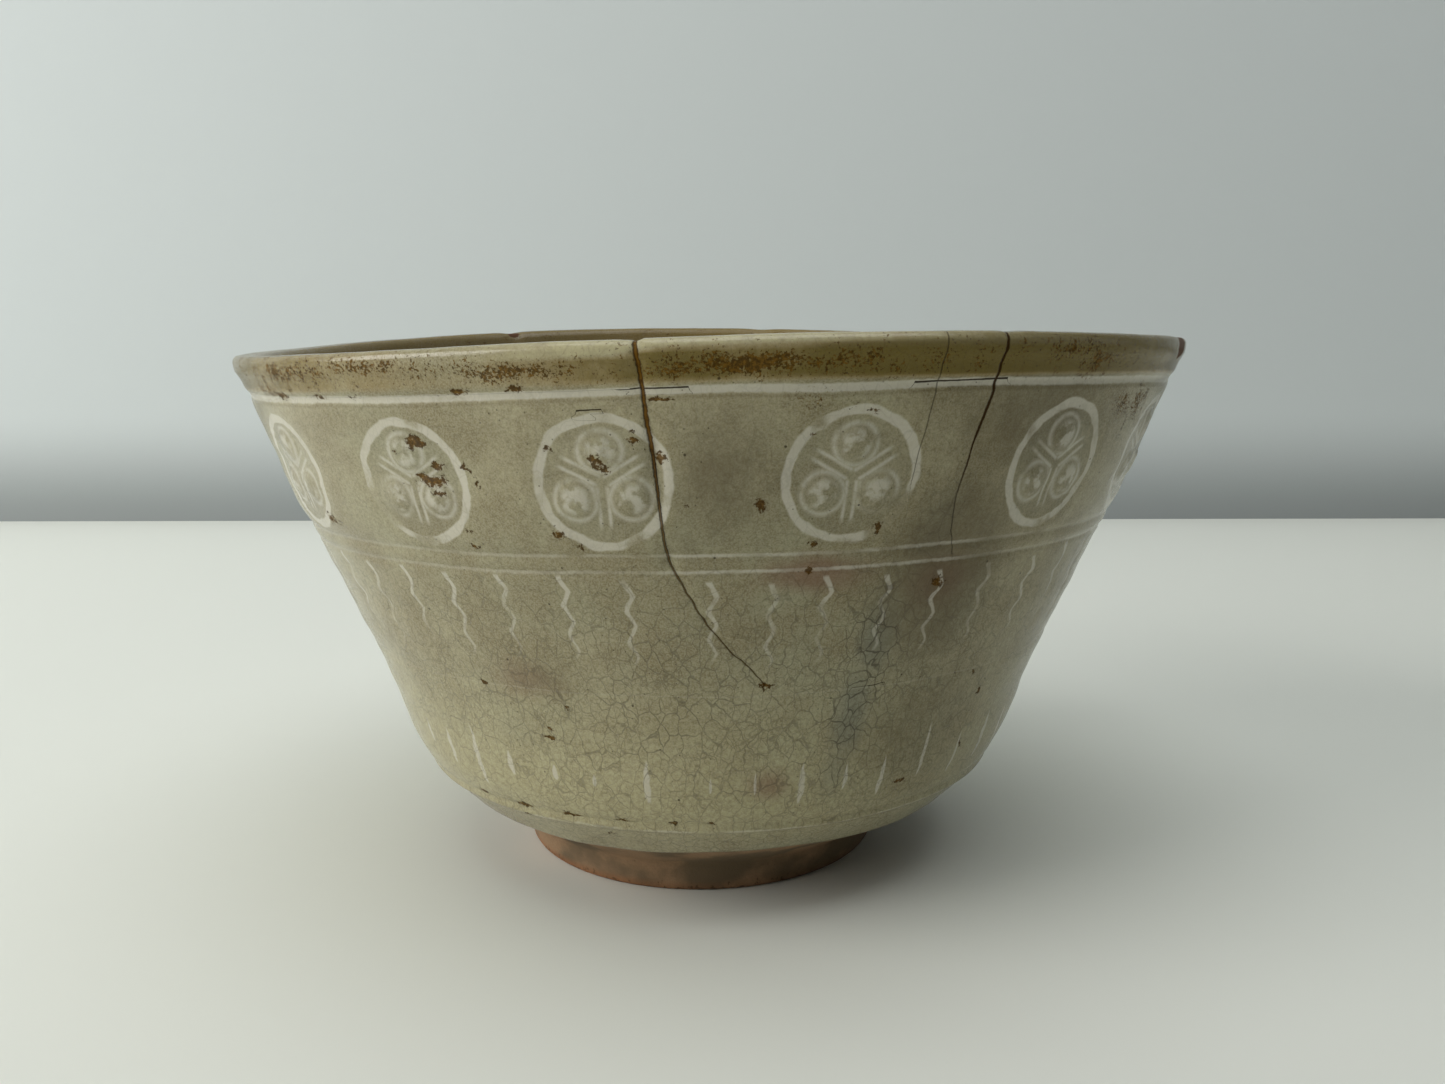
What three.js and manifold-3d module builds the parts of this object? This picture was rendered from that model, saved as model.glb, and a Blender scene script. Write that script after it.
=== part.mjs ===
// A stoneware bowl with an inlaid pattern and old cracks, in millimetres, +Z up.
// Its front, where the longest crack is, faces -Y. It stands on an unglazed foot ring.
import * as THREE from "three";
import { mergeVertices } from "three/addons/utils/BufferGeometryUtils.js";
import Module from "manifold-3d";

// Outside of the wall, from the foot up: the radius at each level.
const FOOT_RADIUS = 28.7;
const FOOT_TOP_RADIUS = 29.6;
const GLAZE_EDGE_RADIUS = 39.3;
const UNDERSIDE_RADIUS = 45.4;
const KNEE_RADIUS = 48.8;
const LOWER_WALL_RADIUS = 52.3;
const DOUBLE_LINE_RADIUS = 60.6;
const WAIST_RADIUS = 63.4;
const COLLAR_RADIUS = 68.4;
const RIM_RADIUS = 70;

// How far each level lies above the one before it.
const FOOT_RING_HEIGHT = 4.6;
const GLAZE_EDGE_RISE = 6.1;
const UNDERSIDE_RISE = 5.7;
const KNEE_RISE = 6.3;
const LOWER_WALL_RISE = 10.6;
const UPPER_WALL_RISE = 20.7;
const WAIST_RISE = 6.2;
const BAND_RISE = 15.2;
const COLLAR_RISE = 3.5;
const LIP_RISE = 2.2;

// Thicknesses, and the hollows inside and under the bowl.
const LIP_THICKNESS = 4;
const LIP_ROUNDING = 1.4;
const WALL_THICKNESS = 4.4;
const KNEE_THICKNESS = 6.2;
const FLOOR_THICKNESS = 6.4;
const WELL_RADIUS = 17;
const WELL_RISE = 0.7;
const FOOT_RING_WIDTH = 5.2;
const FOOT_EDGE_ROUNDING = 0.7;
const RECESS_DRAFT = 1.2;
const RECESS_DEPTH = 4.2;
const RECESS_DOME = 0.9;

// How the bowl is out of true: it leans, and its rim is oval, tilts and sags at the sides.
const LEAN_X = 0.55;
const LEAN_Y = 1.1;
const RIM_TILT = 0.8;
const RIM_DIP = -0.75;
const RIM_SADDLE = 1.15;
const RIM_SADDLE_SKEW = 0.7;
const RIM_OVAL = -2.4;
const WARP_GROWTH = 1.5;
const FOOT_OFF_CENTRE = -1.2;

// Inlaid lines round the bowl, each a shallow groove.
const COLLAR_LINE_WIDTH = 1.1;
const DOUBLE_LINE_WIDTH = 0.6;
const DOUBLE_LINE_GAP = 2.1;
const LINE_DEPTH = 0.25;

// Roundels in the band: three lobes in a ring.
const ROUNDELS = 15;
const FRONT_ROUNDELS = [-57.5, -33.2, -10.6, 15.3, 42, 65.8];
const ROUNDEL_RADIUS = 7.7;
const ROUNDEL_LINE = 1.4;
const LOBE_LENGTH = 4.8;
const LOBE_WIDTH = 4.8;
const LOBE_GAP = 0.9;
const INLAY_DEPTH = 0.5;

// Wavy strokes hang from the double line, and a row of short ones stands above the knee.
const STROKES = 46;
const FRONT_STROKES = [-55.3, -47.8, -40.1, -32.8, -25, -16.8, -9, 0.9, 8, 14.5, 22.1, 29.4, 37.1, 46];
const STROKE_WIDTH = 0.9;
const WAVE_LENGTH = 12.6;
const WAVE_SWING = 0.55;
const WAVE_TURNS = 5;
const WAVE_CLEARANCE = 0.6;
const SHORT_LENGTH = 6.4;
const SHORT_CLEARANCE = 4.8;

// Cracks from the rim: [degrees round from the front, depth below the rim].
const MAIN_CRACK = [[-6.5, 0], [-6, 5], [-5.4, 11], [-5, 18], [-4.3, 24], [-1.5, 30], [2.5, 36], [8.5, 43.5]];
const MAIN_CRACK_WIDTH = 0.7;
const SIDE_CRACK = [[29.8, 0], [29.5, 6], [28.9, 13], [28.1, 19], [29, 24]];
const SIDE_CRACK_WIDTH = 0.5;
const CRACK_TIP_WIDTH = 0.2;
const CRACK_DEPTH = 0.9;
const CRACK_INNER_DROP = 16;
const CRACK_NOTCH = 0.6;

// Facets, and how far a cutter stands clear of the wall.
const FACETS = 54;
const OUTLINE_STEPS = 400;
const RING_FACETS = 12;
const LOBE_FACETS = 6;
const CUT_CLEARANCE = 0.3;

const HEIGHTS = {};
HEIGHTS.footRing = FOOT_RING_HEIGHT;
HEIGHTS.glazeEdge = HEIGHTS.footRing + GLAZE_EDGE_RISE;
HEIGHTS.underside = HEIGHTS.glazeEdge + UNDERSIDE_RISE;
HEIGHTS.knee = HEIGHTS.underside + KNEE_RISE;
HEIGHTS.lowerWall = HEIGHTS.knee + LOWER_WALL_RISE;
HEIGHTS.doubleLine = HEIGHTS.lowerWall + UPPER_WALL_RISE;
HEIGHTS.waist = HEIGHTS.doubleLine + WAIST_RISE;
HEIGHTS.collarLine = HEIGHTS.waist + BAND_RISE;
HEIGHTS.lip = HEIGHTS.collarLine + COLLAR_RISE;
HEIGHTS.rim = HEIGHTS.lip + LIP_RISE;
HEIGHTS.floor = RECESS_DEPTH + RECESS_DOME + FLOOR_THICKNESS;

const radians = THREE.MathUtils.degToRad;

// The outside of the wall from the foot ring's top to the widest point of the lip.
const outline = new THREE.SplineCurve([
  new THREE.Vector2(FOOT_TOP_RADIUS, HEIGHTS.footRing),
  new THREE.Vector2(GLAZE_EDGE_RADIUS, HEIGHTS.glazeEdge),
  new THREE.Vector2(UNDERSIDE_RADIUS, HEIGHTS.underside),
  new THREE.Vector2(KNEE_RADIUS, HEIGHTS.knee),
  new THREE.Vector2(LOWER_WALL_RADIUS, HEIGHTS.lowerWall),
  new THREE.Vector2(DOUBLE_LINE_RADIUS, HEIGHTS.doubleLine),
  new THREE.Vector2(WAIST_RADIUS, HEIGHTS.waist),
  new THREE.Vector2(COLLAR_RADIUS, HEIGHTS.collarLine),
  new THREE.Vector2(RIM_RADIUS, HEIGHTS.lip),
]).getPoints(OUTLINE_STEPS);

// The radius at a height along an outline, which is listed from the foot up.
function radiusOn(points, height) {
  const next = points.findIndex((point) => point.y >= height);
  if (next < 0) return points[points.length - 1].x;
  if (next === 0) return points[0].x;
  const [below, above] = [points[next - 1], points[next]];
  return THREE.MathUtils.mapLinear(height, below.y, above.y, below.x, above.x);
}

// The outer radius of the true, unwarped wall at a height.
const radiusAt = (height) => radiusOn(outline, height);

// The levels at which the outside's facets meet, each with the width of its groove, if it has one.
const LEVELS = [
  [HEIGHTS.footRing, 0],
  [(HEIGHTS.footRing + HEIGHTS.glazeEdge) / 2, 0],
  [HEIGHTS.glazeEdge, 0],
  [HEIGHTS.underside, 0],
  [HEIGHTS.knee, 0],
  [HEIGHTS.lowerWall, 0],
  [HEIGHTS.doubleLine, DOUBLE_LINE_WIDTH],
  [HEIGHTS.doubleLine + DOUBLE_LINE_GAP, DOUBLE_LINE_WIDTH],
  [HEIGHTS.waist, 0],
  [HEIGHTS.collarLine, COLLAR_LINE_WIDTH],
  [HEIGHTS.lip, 0],
];
const facetOutline = LEVELS.map(([height]) => new THREE.Vector2(radiusAt(height), height));

// The wall is thicker towards the knee.
function thicknessAt(height) {
  const up = THREE.MathUtils.clamp((height - HEIGHTS.knee) / (HEIGHTS.doubleLine - HEIGHTS.knee), 0, 1);
  return THREE.MathUtils.lerp(KNEE_THICKNESS, WALL_THICKNESS, up);
}

// A point of the warped bowl: the angle is in radians round from the front, +X a quarter turn on.
function place(radius, angle, height) {
  const up = Math.max(height, 0) / HEIGHTS.rim;
  const warp = up ** WARP_GROWTH;
  const warped = radius + warp * RIM_OVAL * Math.cos(2 * angle);
  const saddle = RIM_SADDLE * Math.cos(2 * angle) + RIM_SADDLE_SKEW * Math.sin(2 * angle);
  const tilt = RIM_TILT * Math.sin(angle) + RIM_DIP * Math.cos(angle);
  const aside = FOOT_OFF_CENTRE * (1 - THREE.MathUtils.smoothstep(height, FOOT_RING_HEIGHT, HEIGHTS.glazeEdge));
  return new THREE.Vector3(
    warped * Math.sin(angle) + LEAN_X * up + aside,
    -warped * Math.cos(angle) + LEAN_Y * up,
    height + warp * (saddle + tilt),
  );
}

// Moves each vertex of a geometry to where a function of its place puts it.
function bend(geometry, move) {
  const position = geometry.attributes.position;
  for (let i = 0; i < position.count; i++) {
    const to = move(position.getX(i), position.getY(i), position.getZ(i));
    position.setXYZ(i, to.x, to.y, to.z);
  }
  return geometry;
}

// A closed mesh as a solid for joining and cutting.
function solid(geometry) {
  geometry.deleteAttribute("normal");
  geometry.deleteAttribute("uv");
  const merged = mergeVertices(geometry, 1e-4);
  return new wasm.Manifold(
    new wasm.Mesh({
      numProp: 3,
      vertProperties: merged.attributes.position.array,
      triVerts: new Uint32Array(merged.index.array),
    }),
  );
}

// Foot ring with its recess, from the middle of the underside out to the ring's foot.
function footProfile() {
  const inside = FOOT_RADIUS - FOOT_RING_WIDTH;
  return [
    [0, RECESS_DEPTH + RECESS_DOME],
    [inside - RECESS_DRAFT, RECESS_DEPTH],
    [inside, FOOT_EDGE_ROUNDING],
    [inside + FOOT_EDGE_ROUNDING, 0],
    [FOOT_RADIUS - FOOT_EDGE_ROUNDING, 0],
    [FOOT_RADIUS, FOOT_EDGE_ROUNDING],
  ];
}

// A groove round the bowl, as its two edges and its bottom.
function grooveProfile(height, width) {
  const [below, above] = [height - width / 2, height + width / 2];
  return [[radiusAt(below), below], [radiusAt(height) - LINE_DEPTH, height], [radiusAt(above), above]];
}

function outerProfile() {
  return LEVELS.flatMap(([height, groove]) => (groove ? grooveProfile(height, groove) : [[radiusAt(height), height]]));
}

// The lip, over the top of the wall from outside to inside, with both its edges rounded.
function lipProfile() {
  const [outer, inner] = [RIM_RADIUS - LIP_ROUNDING, RIM_RADIUS - LIP_THICKNESS + LIP_ROUNDING];
  const eased = LIP_ROUNDING * Math.SQRT1_2;
  const eave = HEIGHTS.lip + LIP_RISE * Math.SQRT1_2;
  return [[outer + eased, eave], [outer, HEIGHTS.rim], [inner, HEIGHTS.rim], [inner - eased, eave]];
}

// The inside of the wall, down into a rounded well. The two bends beside the knee get a point more each.
function innerProfile() {
  const levels = [HEIGHTS.collarLine, HEIGHTS.waist, HEIGHTS.doubleLine, HEIGHTS.lowerWall, HEIGHTS.knee];
  const curve = new THREE.SplineCurve([
    new THREE.Vector2(RIM_RADIUS - LIP_THICKNESS, HEIGHTS.lip),
    ...levels.map((height) => new THREE.Vector2(radiusAt(height) - thicknessAt(height), height)),
    new THREE.Vector2(WELL_RADIUS, HEIGHTS.floor + WELL_RISE),
    new THREE.Vector2(0, HEIGHTS.floor),
  ]);
  const knee = levels.length;
  const last = curve.points.length - 1;
  const stops = [...curve.points.keys(), knee - 0.5, knee + 0.5].sort((a, b) => a - b);
  return stops.map((stop) => curve.getPoint(stop / last)).map((point) => [Math.max(point.x, 0), point.y]);
}

function bowlBody() {
  const profile = [...footProfile(), ...outerProfile(), ...lipProfile(), ...innerProfile()];
  const points = profile.map(([radius, height]) => new THREE.Vector2(radius, height));
  const body = new THREE.LatheGeometry(points, FACETS);
  return solid(bend(body, (x, y, z) => place(Math.hypot(x, z), Math.atan2(x, z), y)));
}

// Lays a cutter on the wall's facets round a centre: x runs round the bowl, y up it and z out of it.
function layOnWall(cutter, angle, height) {
  const radius = radiusAt(height);
  return solid(
    bend(cutter, (x, y, z) => place(radiusOn(facetOutline, height + y) + z, angle + x / radius, height + y)),
  );
}

// The half width, at a cutter's outer edge, of a V groove that is this wide at the surface.
function mouth(width, depth) {
  return (width / 2) * (1 + CUT_CLEARANCE / depth);
}

// A V groove along a path of [across, up] points, from one width at its start to another at its end.
function grooveCut(path, startWidth, endWidth, depth, angle, height) {
  const blade = new THREE.CylinderGeometry(1, 1, 1, 3, path.length - 1, false, Math.PI);
  const bent = bend(blade, (x, y, z) => {
    const along = 0.5 - y;
    const [across, up] = path[Math.round(along * (path.length - 1))];
    const half = mouth(THREE.MathUtils.lerp(startWidth, endWidth, along), depth);
    return { x: across + half * Math.sign(Math.round(x * 2)), y: up, z: z < 0 ? -depth : CUT_CLEARANCE };
  });
  return layOnWall(bent, angle, height);
}

// Angles of a pattern: those seen at the front, then the rest evenly round the back.
function anglesRound(front, count) {
  const rest = count - front.length;
  const last = front[front.length - 1];
  const step = (front[0] + 360 - last) / (rest + 1);
  const back = Array.from({ length: rest }, (_, i) => last + step * (i + 1));
  return [...front, ...back].map(radians);
}

// The ring of a roundel, a round V groove.
function ringCutter() {
  const half = mouth(ROUNDEL_LINE, INLAY_DEPTH);
  const section = [
    [ROUNDEL_RADIUS - half, CUT_CLEARANCE],
    [ROUNDEL_RADIUS, -INLAY_DEPTH],
    [ROUNDEL_RADIUS + half, CUT_CLEARANCE],
    [ROUNDEL_RADIUS - half, CUT_CLEARANCE],
  ];
  const points = section.map(([radius, out]) => new THREE.Vector2(radius, out));
  return new THREE.LatheGeometry(points, RING_FACETS).rotateX(Math.PI / 2);
}

// One lobe of a roundel, a shallow dimple beside its middle, turned round it.
function lobeCutter(turn) {
  const wide = mouth(2, INLAY_DEPTH);
  const dimple = new THREE.ConeGeometry(wide, CUT_CLEARANCE + INLAY_DEPTH, LOBE_FACETS);
  dimple.rotateX(-Math.PI / 2).translate(0, 0, (CUT_CLEARANCE - INLAY_DEPTH) / 2);
  dimple.scale(LOBE_WIDTH / 2, LOBE_LENGTH / 2, 1).translate(0, LOBE_GAP + LOBE_LENGTH / 2, 0);
  return dimple.rotateZ(turn);
}

function roundelCuts() {
  const middle = (HEIGHTS.doubleLine + DOUBLE_LINE_GAP + HEIGHTS.collarLine) / 2;
  const turns = [0, 120, 240].map(radians);
  return anglesRound(FRONT_ROUNDELS, ROUNDELS).flatMap((angle) => [
    layOnWall(ringCutter(), angle, middle),
    ...turns.map((turn) => layOnWall(lobeCutter(turn), angle, middle)),
  ]);
}

function strokeCuts() {
  const swing = (i) => (i % 2 ? WAVE_SWING : -WAVE_SWING);
  const wave = Array.from({ length: WAVE_TURNS + 1 }, (_, i) => [swing(i), (-i * WAVE_LENGTH) / WAVE_TURNS]);
  const short = [[0, SHORT_LENGTH], [0, 0]];
  const waveTop = HEIGHTS.doubleLine - DOUBLE_LINE_WIDTH / 2 - WAVE_CLEARANCE;
  const shortFoot = HEIGHTS.underside + SHORT_CLEARANCE;
  return anglesRound(FRONT_STROKES, STROKES).flatMap((angle) => [
    grooveCut(wave, STROKE_WIDTH, STROKE_WIDTH, INLAY_DEPTH, angle, waveTop),
    grooveCut(short, STROKE_WIDTH, STROKE_WIDTH / 2, INLAY_DEPTH, angle, shortFoot),
  ]);
}

// A crack opens the outer wall all its length, nicks the lip, and opens a little of the inside.
function crackCuts(crack, width) {
  const degree = radiusAt(HEIGHTS.rim) * radians(1);
  const path = crack.map(([angle, drop]) => [(angle - crack[0][0]) * degree, -drop]);
  const above = [0, CUT_CLEARANCE + RIM_SADDLE];
  const angle = radians(crack[0][0]);
  const notch = new THREE.BoxGeometry(width, CRACK_NOTCH + above[1], LIP_THICKNESS + 2 * CUT_CLEARANCE);
  notch.translate(0, (above[1] - CRACK_NOTCH) / 2, -LIP_THICKNESS / 2);
  const inside = new THREE.BoxGeometry(width, CRACK_INNER_DROP, CRACK_DEPTH + CUT_CLEARANCE);
  inside.translate(0, -CRACK_INNER_DROP / 2, CRACK_DEPTH / 2 - WALL_THICKNESS);
  return [
    grooveCut([above, ...path], width, CRACK_TIP_WIDTH, CRACK_DEPTH, angle, HEIGHTS.rim),
    layOnWall(notch, angle, HEIGHTS.rim),
    layOnWall(inside, angle, HEIGHTS.rim),
  ];
}

function bowlSolid() {
  const cuts = [
    ...roundelCuts(),
    ...strokeCuts(),
    ...crackCuts(MAIN_CRACK, MAIN_CRACK_WIDTH),
    ...crackCuts(SIDE_CRACK, SIDE_CRACK_WIDTH),
  ];
  return cuts.reduce((body, cut) => body.subtract(cut), bowlBody());
}

// The finished mesh, with the middle of its box over the origin.
function bowlMesh() {
  const { vertProperties, triVerts } = bowlSolid().getMesh();
  const geometry = new THREE.BufferGeometry();
  geometry.setAttribute("position", new THREE.BufferAttribute(vertProperties, 3));
  geometry.setIndex(new THREE.BufferAttribute(triVerts, 1));
  geometry.computeVertexNormals();
  geometry.computeBoundingBox();
  const middle = geometry.boundingBox.getCenter(new THREE.Vector3());
  const glaze = new THREE.MeshStandardMaterial({ color: 0x7d765c, roughness: 0.32, metalness: 0 });
  const mesh = new THREE.Mesh(geometry, glaze);
  mesh.name = "bowl";
  mesh.position.set(-middle.x, -middle.y, -geometry.boundingBox.min.z);
  return mesh;
}

const wasm = await Module();
wasm.setup();

const part = new THREE.Group();
part.add(bowlMesh());
export default part;
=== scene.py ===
import math

import bpy
import numpy as np
from mathutils import Matrix, Vector, noise


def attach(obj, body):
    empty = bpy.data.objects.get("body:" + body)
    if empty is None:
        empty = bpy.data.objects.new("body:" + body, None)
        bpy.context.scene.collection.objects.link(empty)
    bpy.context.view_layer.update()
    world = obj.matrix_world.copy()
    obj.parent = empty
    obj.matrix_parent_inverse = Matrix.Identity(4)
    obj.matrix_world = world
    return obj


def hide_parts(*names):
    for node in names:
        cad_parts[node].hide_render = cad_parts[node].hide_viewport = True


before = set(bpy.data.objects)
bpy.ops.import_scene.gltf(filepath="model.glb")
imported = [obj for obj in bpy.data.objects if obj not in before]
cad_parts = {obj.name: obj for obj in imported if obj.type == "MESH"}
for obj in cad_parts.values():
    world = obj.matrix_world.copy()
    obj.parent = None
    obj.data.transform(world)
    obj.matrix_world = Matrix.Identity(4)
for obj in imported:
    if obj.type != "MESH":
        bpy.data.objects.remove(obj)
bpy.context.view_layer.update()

bl_info = {
    "name": "Cracked Stoneware Bowl",
    "version": (1, 0, 0),
    "blender": (4, 5, 0),
    "location": "View3D > Sidebar > Bowl",
    "description": "Builds an old inlaid stoneware bowl, crazed and cracked, on a plain stage",
    "category": "Object",
}

MM = 0.001

# The bowl's outside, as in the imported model, in millimetres: [radius, height] up the wall.
WALL_KNOTS = [
    [29.6, 4.6], [39.3, 10.7], [45.4, 16.4], [48.8, 22.7], [52.3, 33.3],
    [60.6, 54.0], [63.4, 60.2], [68.4, 75.4], [70.0, 78.9],
]
FOOT_RADIUS, FOOT_WIDTH = 28.7, 5.2
RECESS_DRAFT, RECESS_DEPTH, RECESS_DOME = 1.2, 4.2, 0.9
RIM_RADIUS, RIM_HEIGHT, LIP_HEIGHT = 70.0, 81.1, 78.9
LIP_THICKNESS, LIP_ROUNDING = 4.0, 1.4
EDGE_RADIUS, EDGE_HEIGHT, EDGE_ROUNDING = 70.2, 80.1, 0.9
WALL_THICKNESS, KNEE_THICKNESS, FLOOR_HEIGHT = 4.4, 6.2, 11.5
WELL_RADIUS, WELL_RISE = 17.0, 0.7
FOOT_TOP, GLAZE_EDGE, KNEE_LINE, KNEE = 4.6, 10.7, 16.5, 22.7
LOWER_WALL, FAINT_LINE, LOWER_LINE, UPPER_LINE, WAIST, COLLAR_LINE = 33.3, 37.2, 54.0, 56.1, 60.2, 75.4

# How it is out of true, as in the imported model.
LEAN_X, LEAN_Y, FOOT_OFF_CENTRE = 0.55, 1.1, -1.2
RIM_TILT, RIM_DIP, RIM_SADDLE, RIM_SADDLE_SKEW, RIM_OVAL, WARP_GROWTH = 0.8, -0.75, 1.15, 0.7, -2.4, 1.5
BOX_MIDDLE = (0.535, 1.07)

# The pattern: angles in degrees round from the front, heights in millimetres.
FRONT_ROUNDELS = [-57.5, -33.2, -10.6, 15.3, 42.0, 65.8]
ROUNDELS, ROUNDEL_HEIGHT, RING_RADIUS = 15, 65.1, 7.95
FRONT_STROKES = [
    -55.3, -47.8, -40.1, -32.8, -25.0, -16.8, -9.0, 0.9, 8.0, 14.5, 22.1, 29.4, 37.1, 46.0,
]
STROKES, WAVE_TOP, WAVE_FOOT, WAVE_BENDS = 46, 53.5, 40.6, 6
# Half sizes of a roundel's lobe, how far out its middle lies, and how much flatter than round a roundel is.
LOBE_ACROSS, LOBE_ALONG, LOBE_OUT, FLATTENED = 2.8, 2.9, 3.9, 1.05
# Short strokes: angle, lower end, upper end, strength.
FRONT_SHORTS = [
    (-53.0, 24.0, 28.0, 0.7), (-46.7, 22.0, 28.0, 0.9), (-39.6, 20.0, 30.0, 1.0), (-32.3, 23.0, 27.0, 1.0),
    (-24.0, 23.5, 26.0, 0.8), (-17.3, 23.3, 25.2, 0.6), (-8.9, 21.2, 28.0, 1.0), (0.7, 23.0, 25.4, 0.4),
    (7.5, 22.5, 26.0, 0.4), (14.8, 20.4, 27.0, 0.9), (22.0, 22.0, 26.0, 0.6), (28.8, 20.0, 26.2, 0.8),
    (36.7, 21.5, 30.0, 0.7), (45.3, 20.0, 27.0, 0.6),
]

# Cracks as [height, degrees round], from the rim down.
MAIN_CRACK = [
    [82, -6.5], [76, -5.9], [72, -5.6], [68, -5.2], [62, -4.7], [58, -4.4], [55.3, -4.0], [54.5, -3.6],
    [51.6, -2.2], [48.8, -0.8], [46.6, 0.6], [43, 3.6], [41.7, 5.2], [38.5, 8.0],
]
SIDE_CRACK = [
    [82, 29.8], [76, 29.5], [74, 29.4], [71, 29.1], [68, 28.7], [65, 28.2], [62, 28.0], [60, 28.2],
    [57.5, 28.9], [54.5, 30.2],
]
FINE_CRACK = [[82, 23.1], [76, 22.9], [72.5, 22.7], [68, 22.3], [64, 22.0]]
# Of each crack: its path, half its width at the rim and at the tip, its share of the full depth, and how
# far to its sides the columns of points are drawn in towards it.
CRACKS = [
    (MAIN_CRACK, 0.36, 0.1, 1, 2.4), (SIDE_CRACK, 0.26, 0.09, 0.62, 2.0), (FINE_CRACK, 0.11, 0.07, 0.19, 1.6),
]
# What stands for nowhere near, the step across the longest crack and how far it reaches, and how strongly
# the columns are drawn in.
FAR, CRACK_STEP, CRACK_STEP_REACH, COLUMN_PULL = 60, 0.05, 14, 0.62


# Shape

def curve_through(points, steps=40):
    """A smooth curve through the points."""
    p = np.array([points[0], *points, points[-1]], float)
    t = np.linspace(0, 1, steps, endpoint=False)[:, None]
    runs = [
        0.5 * (2 * b + (c - a) * t + (2 * a - 5 * b + 4 * c - d) * t**2 + (3 * b - a - 3 * c + d) * t**3)
        for a, b, c, d in zip(p, p[1:], p[2:], p[3:])
    ]
    return np.vstack([*runs, p[-1:]])


WALL = curve_through(WALL_KNOTS)


def radius_at(height):
    return np.interp(height, WALL[:, 1], WALL[:, 0])


def inner_point(height):
    """A point of the inner wall at a height: the wall is thicker towards the knee."""
    up = min(max((height - KNEE) / (LOWER_LINE - KNEE), 0), 1)
    return [float(radius_at(height)) - (KNEE_THICKNESS + up * (WALL_THICKNESS - KNEE_THICKNESS)), height]


def even_points(curve, steps):
    """Points along a curve, as far apart as the steps say: (length, gap) pairs from its start."""
    lengths = np.concatenate([[0], np.cumsum(np.hypot(*np.diff(curve, axis=0).T))])
    stops, at = [], 0.0
    for length, gap in steps:
        count = max(1, round(length / gap))
        stops += list(at + np.arange(count) * length / count)
        at += length
    stops = [s for s in stops if s < lengths[-1] - SHORTEST_GAP] + [lengths[-1]]
    return [[float(np.interp(s, lengths, curve[:, k])) for k in (0, 1)] for s in stops]


# (from height, to height, gap) of the rows of points up the outer wall.
WALL_ROWS = [
    (4.6, 10.0, 0.9), (10.0, 12.0, 0.34), (12.0, 15.8, 0.8), (15.8, 18.0, 0.3), (18.0, 53.0, 0.72),
    (53.0, 57.2, 0.3), (57.2, 74.2, 0.52), (74.2, 76.6, 0.3), (76.6, 78.9, 0.46),
]
# (length, gap) of those down the inside, and the least gap that is left before the last.
INNER_ROWS, SHORTEST_GAP = [(18, 0.9), (45, 1.5), (60, 2.6)], 0.2
# Distances from the middle of the points across the recess, and the points round the foot ring.
RECESS_ROWS = (0, 5, 10, 15, 19, 22.3)
FOOT_CORNERS = [
    [22.9, 2.6], [23.3, 1.3], [23.5, 0.6], [23.75, 0.18], [24.2, 0], [26.1, 0], [28, 0], [28.45, 0.18],
    [28.7, 0.6], [28.85, 1.5], [29.1, 2.6], [29.35, 3.6],
]
LIP_TURNS, LIP_SWELL, LIP_CROWN = 5, 0.03, 0.05


def half_profile():
    """The bowl's section from the middle of the underside round to the middle of the inside: its points,
    and for each 0 on the outside, 1 on the inside."""
    wide = FOOT_RADIUS - FOOT_WIDTH - RECESS_DRAFT
    under = [[r, RECESS_DEPTH + RECESS_DOME * (1 - (r / wide) ** 2)] for r in RECESS_ROWS]
    wall = []
    for low, high, gap in WALL_ROWS:
        count = max(1, round((high - low) / gap))
        wall += [[float(radius_at(z)), z] for z in np.arange(count) * (high - low) / count + low]
    quarter = [(math.cos(a), math.sin(a)) for a in np.linspace(0, math.pi / 2, LIP_TURNS)]
    inner, edge = RIM_RADIUS - LIP_THICKNESS + LIP_ROUNDING, EDGE_RADIUS - EDGE_ROUNDING
    lift, rise = RIM_HEIGHT - LIP_HEIGHT, RIM_HEIGHT - EDGE_HEIGHT
    between = (RIM_RADIUS + EDGE_RADIUS) / 2 + LIP_SWELL
    lip = [[RIM_RADIUS, LIP_HEIGHT], [between, (LIP_HEIGHT + EDGE_HEIGHT) / 2]]
    lip += [[edge + EDGE_ROUNDING * along, EDGE_HEIGHT + rise * up] for along, up in quarter]
    lip += [[(edge + inner) / 2, RIM_HEIGHT + LIP_CROWN]]
    lip += [[inner - LIP_ROUNDING * along, LIP_HEIGHT + lift * up] for along, up in quarter[::-1]]
    bowl = curve_through([
        [RIM_RADIUS - LIP_THICKNESS, LIP_HEIGHT],
        *[inner_point(height) for height in (WAIST, LOWER_LINE, LOWER_WALL, KNEE)],
        [WELL_RADIUS, FLOOR_HEIGHT + WELL_RISE], [0, FLOOR_HEIGHT],
    ])
    bowl[:, 0] = np.maximum(bowl[:, 0], 0)
    hollow = even_points(bowl, INNER_ROWS)[1:]
    points = under + FOOT_CORNERS + wall + lip + hollow
    inside = LIP_TURNS + len(hollow)
    return np.array(points), np.array([0] * (len(points) - inside) + [1] * inside)


def place(radius, angle, height):
    """Points of the warped bowl in millimetres: angle in radians round from the front."""
    up = np.maximum(height, 0) / RIM_HEIGHT
    warp = up**WARP_GROWTH
    warped = radius + warp * RIM_OVAL * np.cos(2 * angle)
    lift = RIM_SADDLE * np.cos(2 * angle) + RIM_SADDLE_SKEW * np.sin(2 * angle)
    lift = lift + RIM_TILT * np.sin(angle) + RIM_DIP * np.cos(angle)
    t = np.clip((height - FOOT_TOP) / (GLAZE_EDGE - FOOT_TOP), 0, 1)
    aside = FOOT_OFF_CENTRE * (1 - t * t * (3 - 2 * t))
    return np.stack([
        warped * np.sin(angle) + LEAN_X * up + aside - BOX_MIDDLE[0],
        -warped * np.cos(angle) + LEAN_Y * up - BOX_MIDDLE[1],
        height + warp * lift,
    ], -1)


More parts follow.
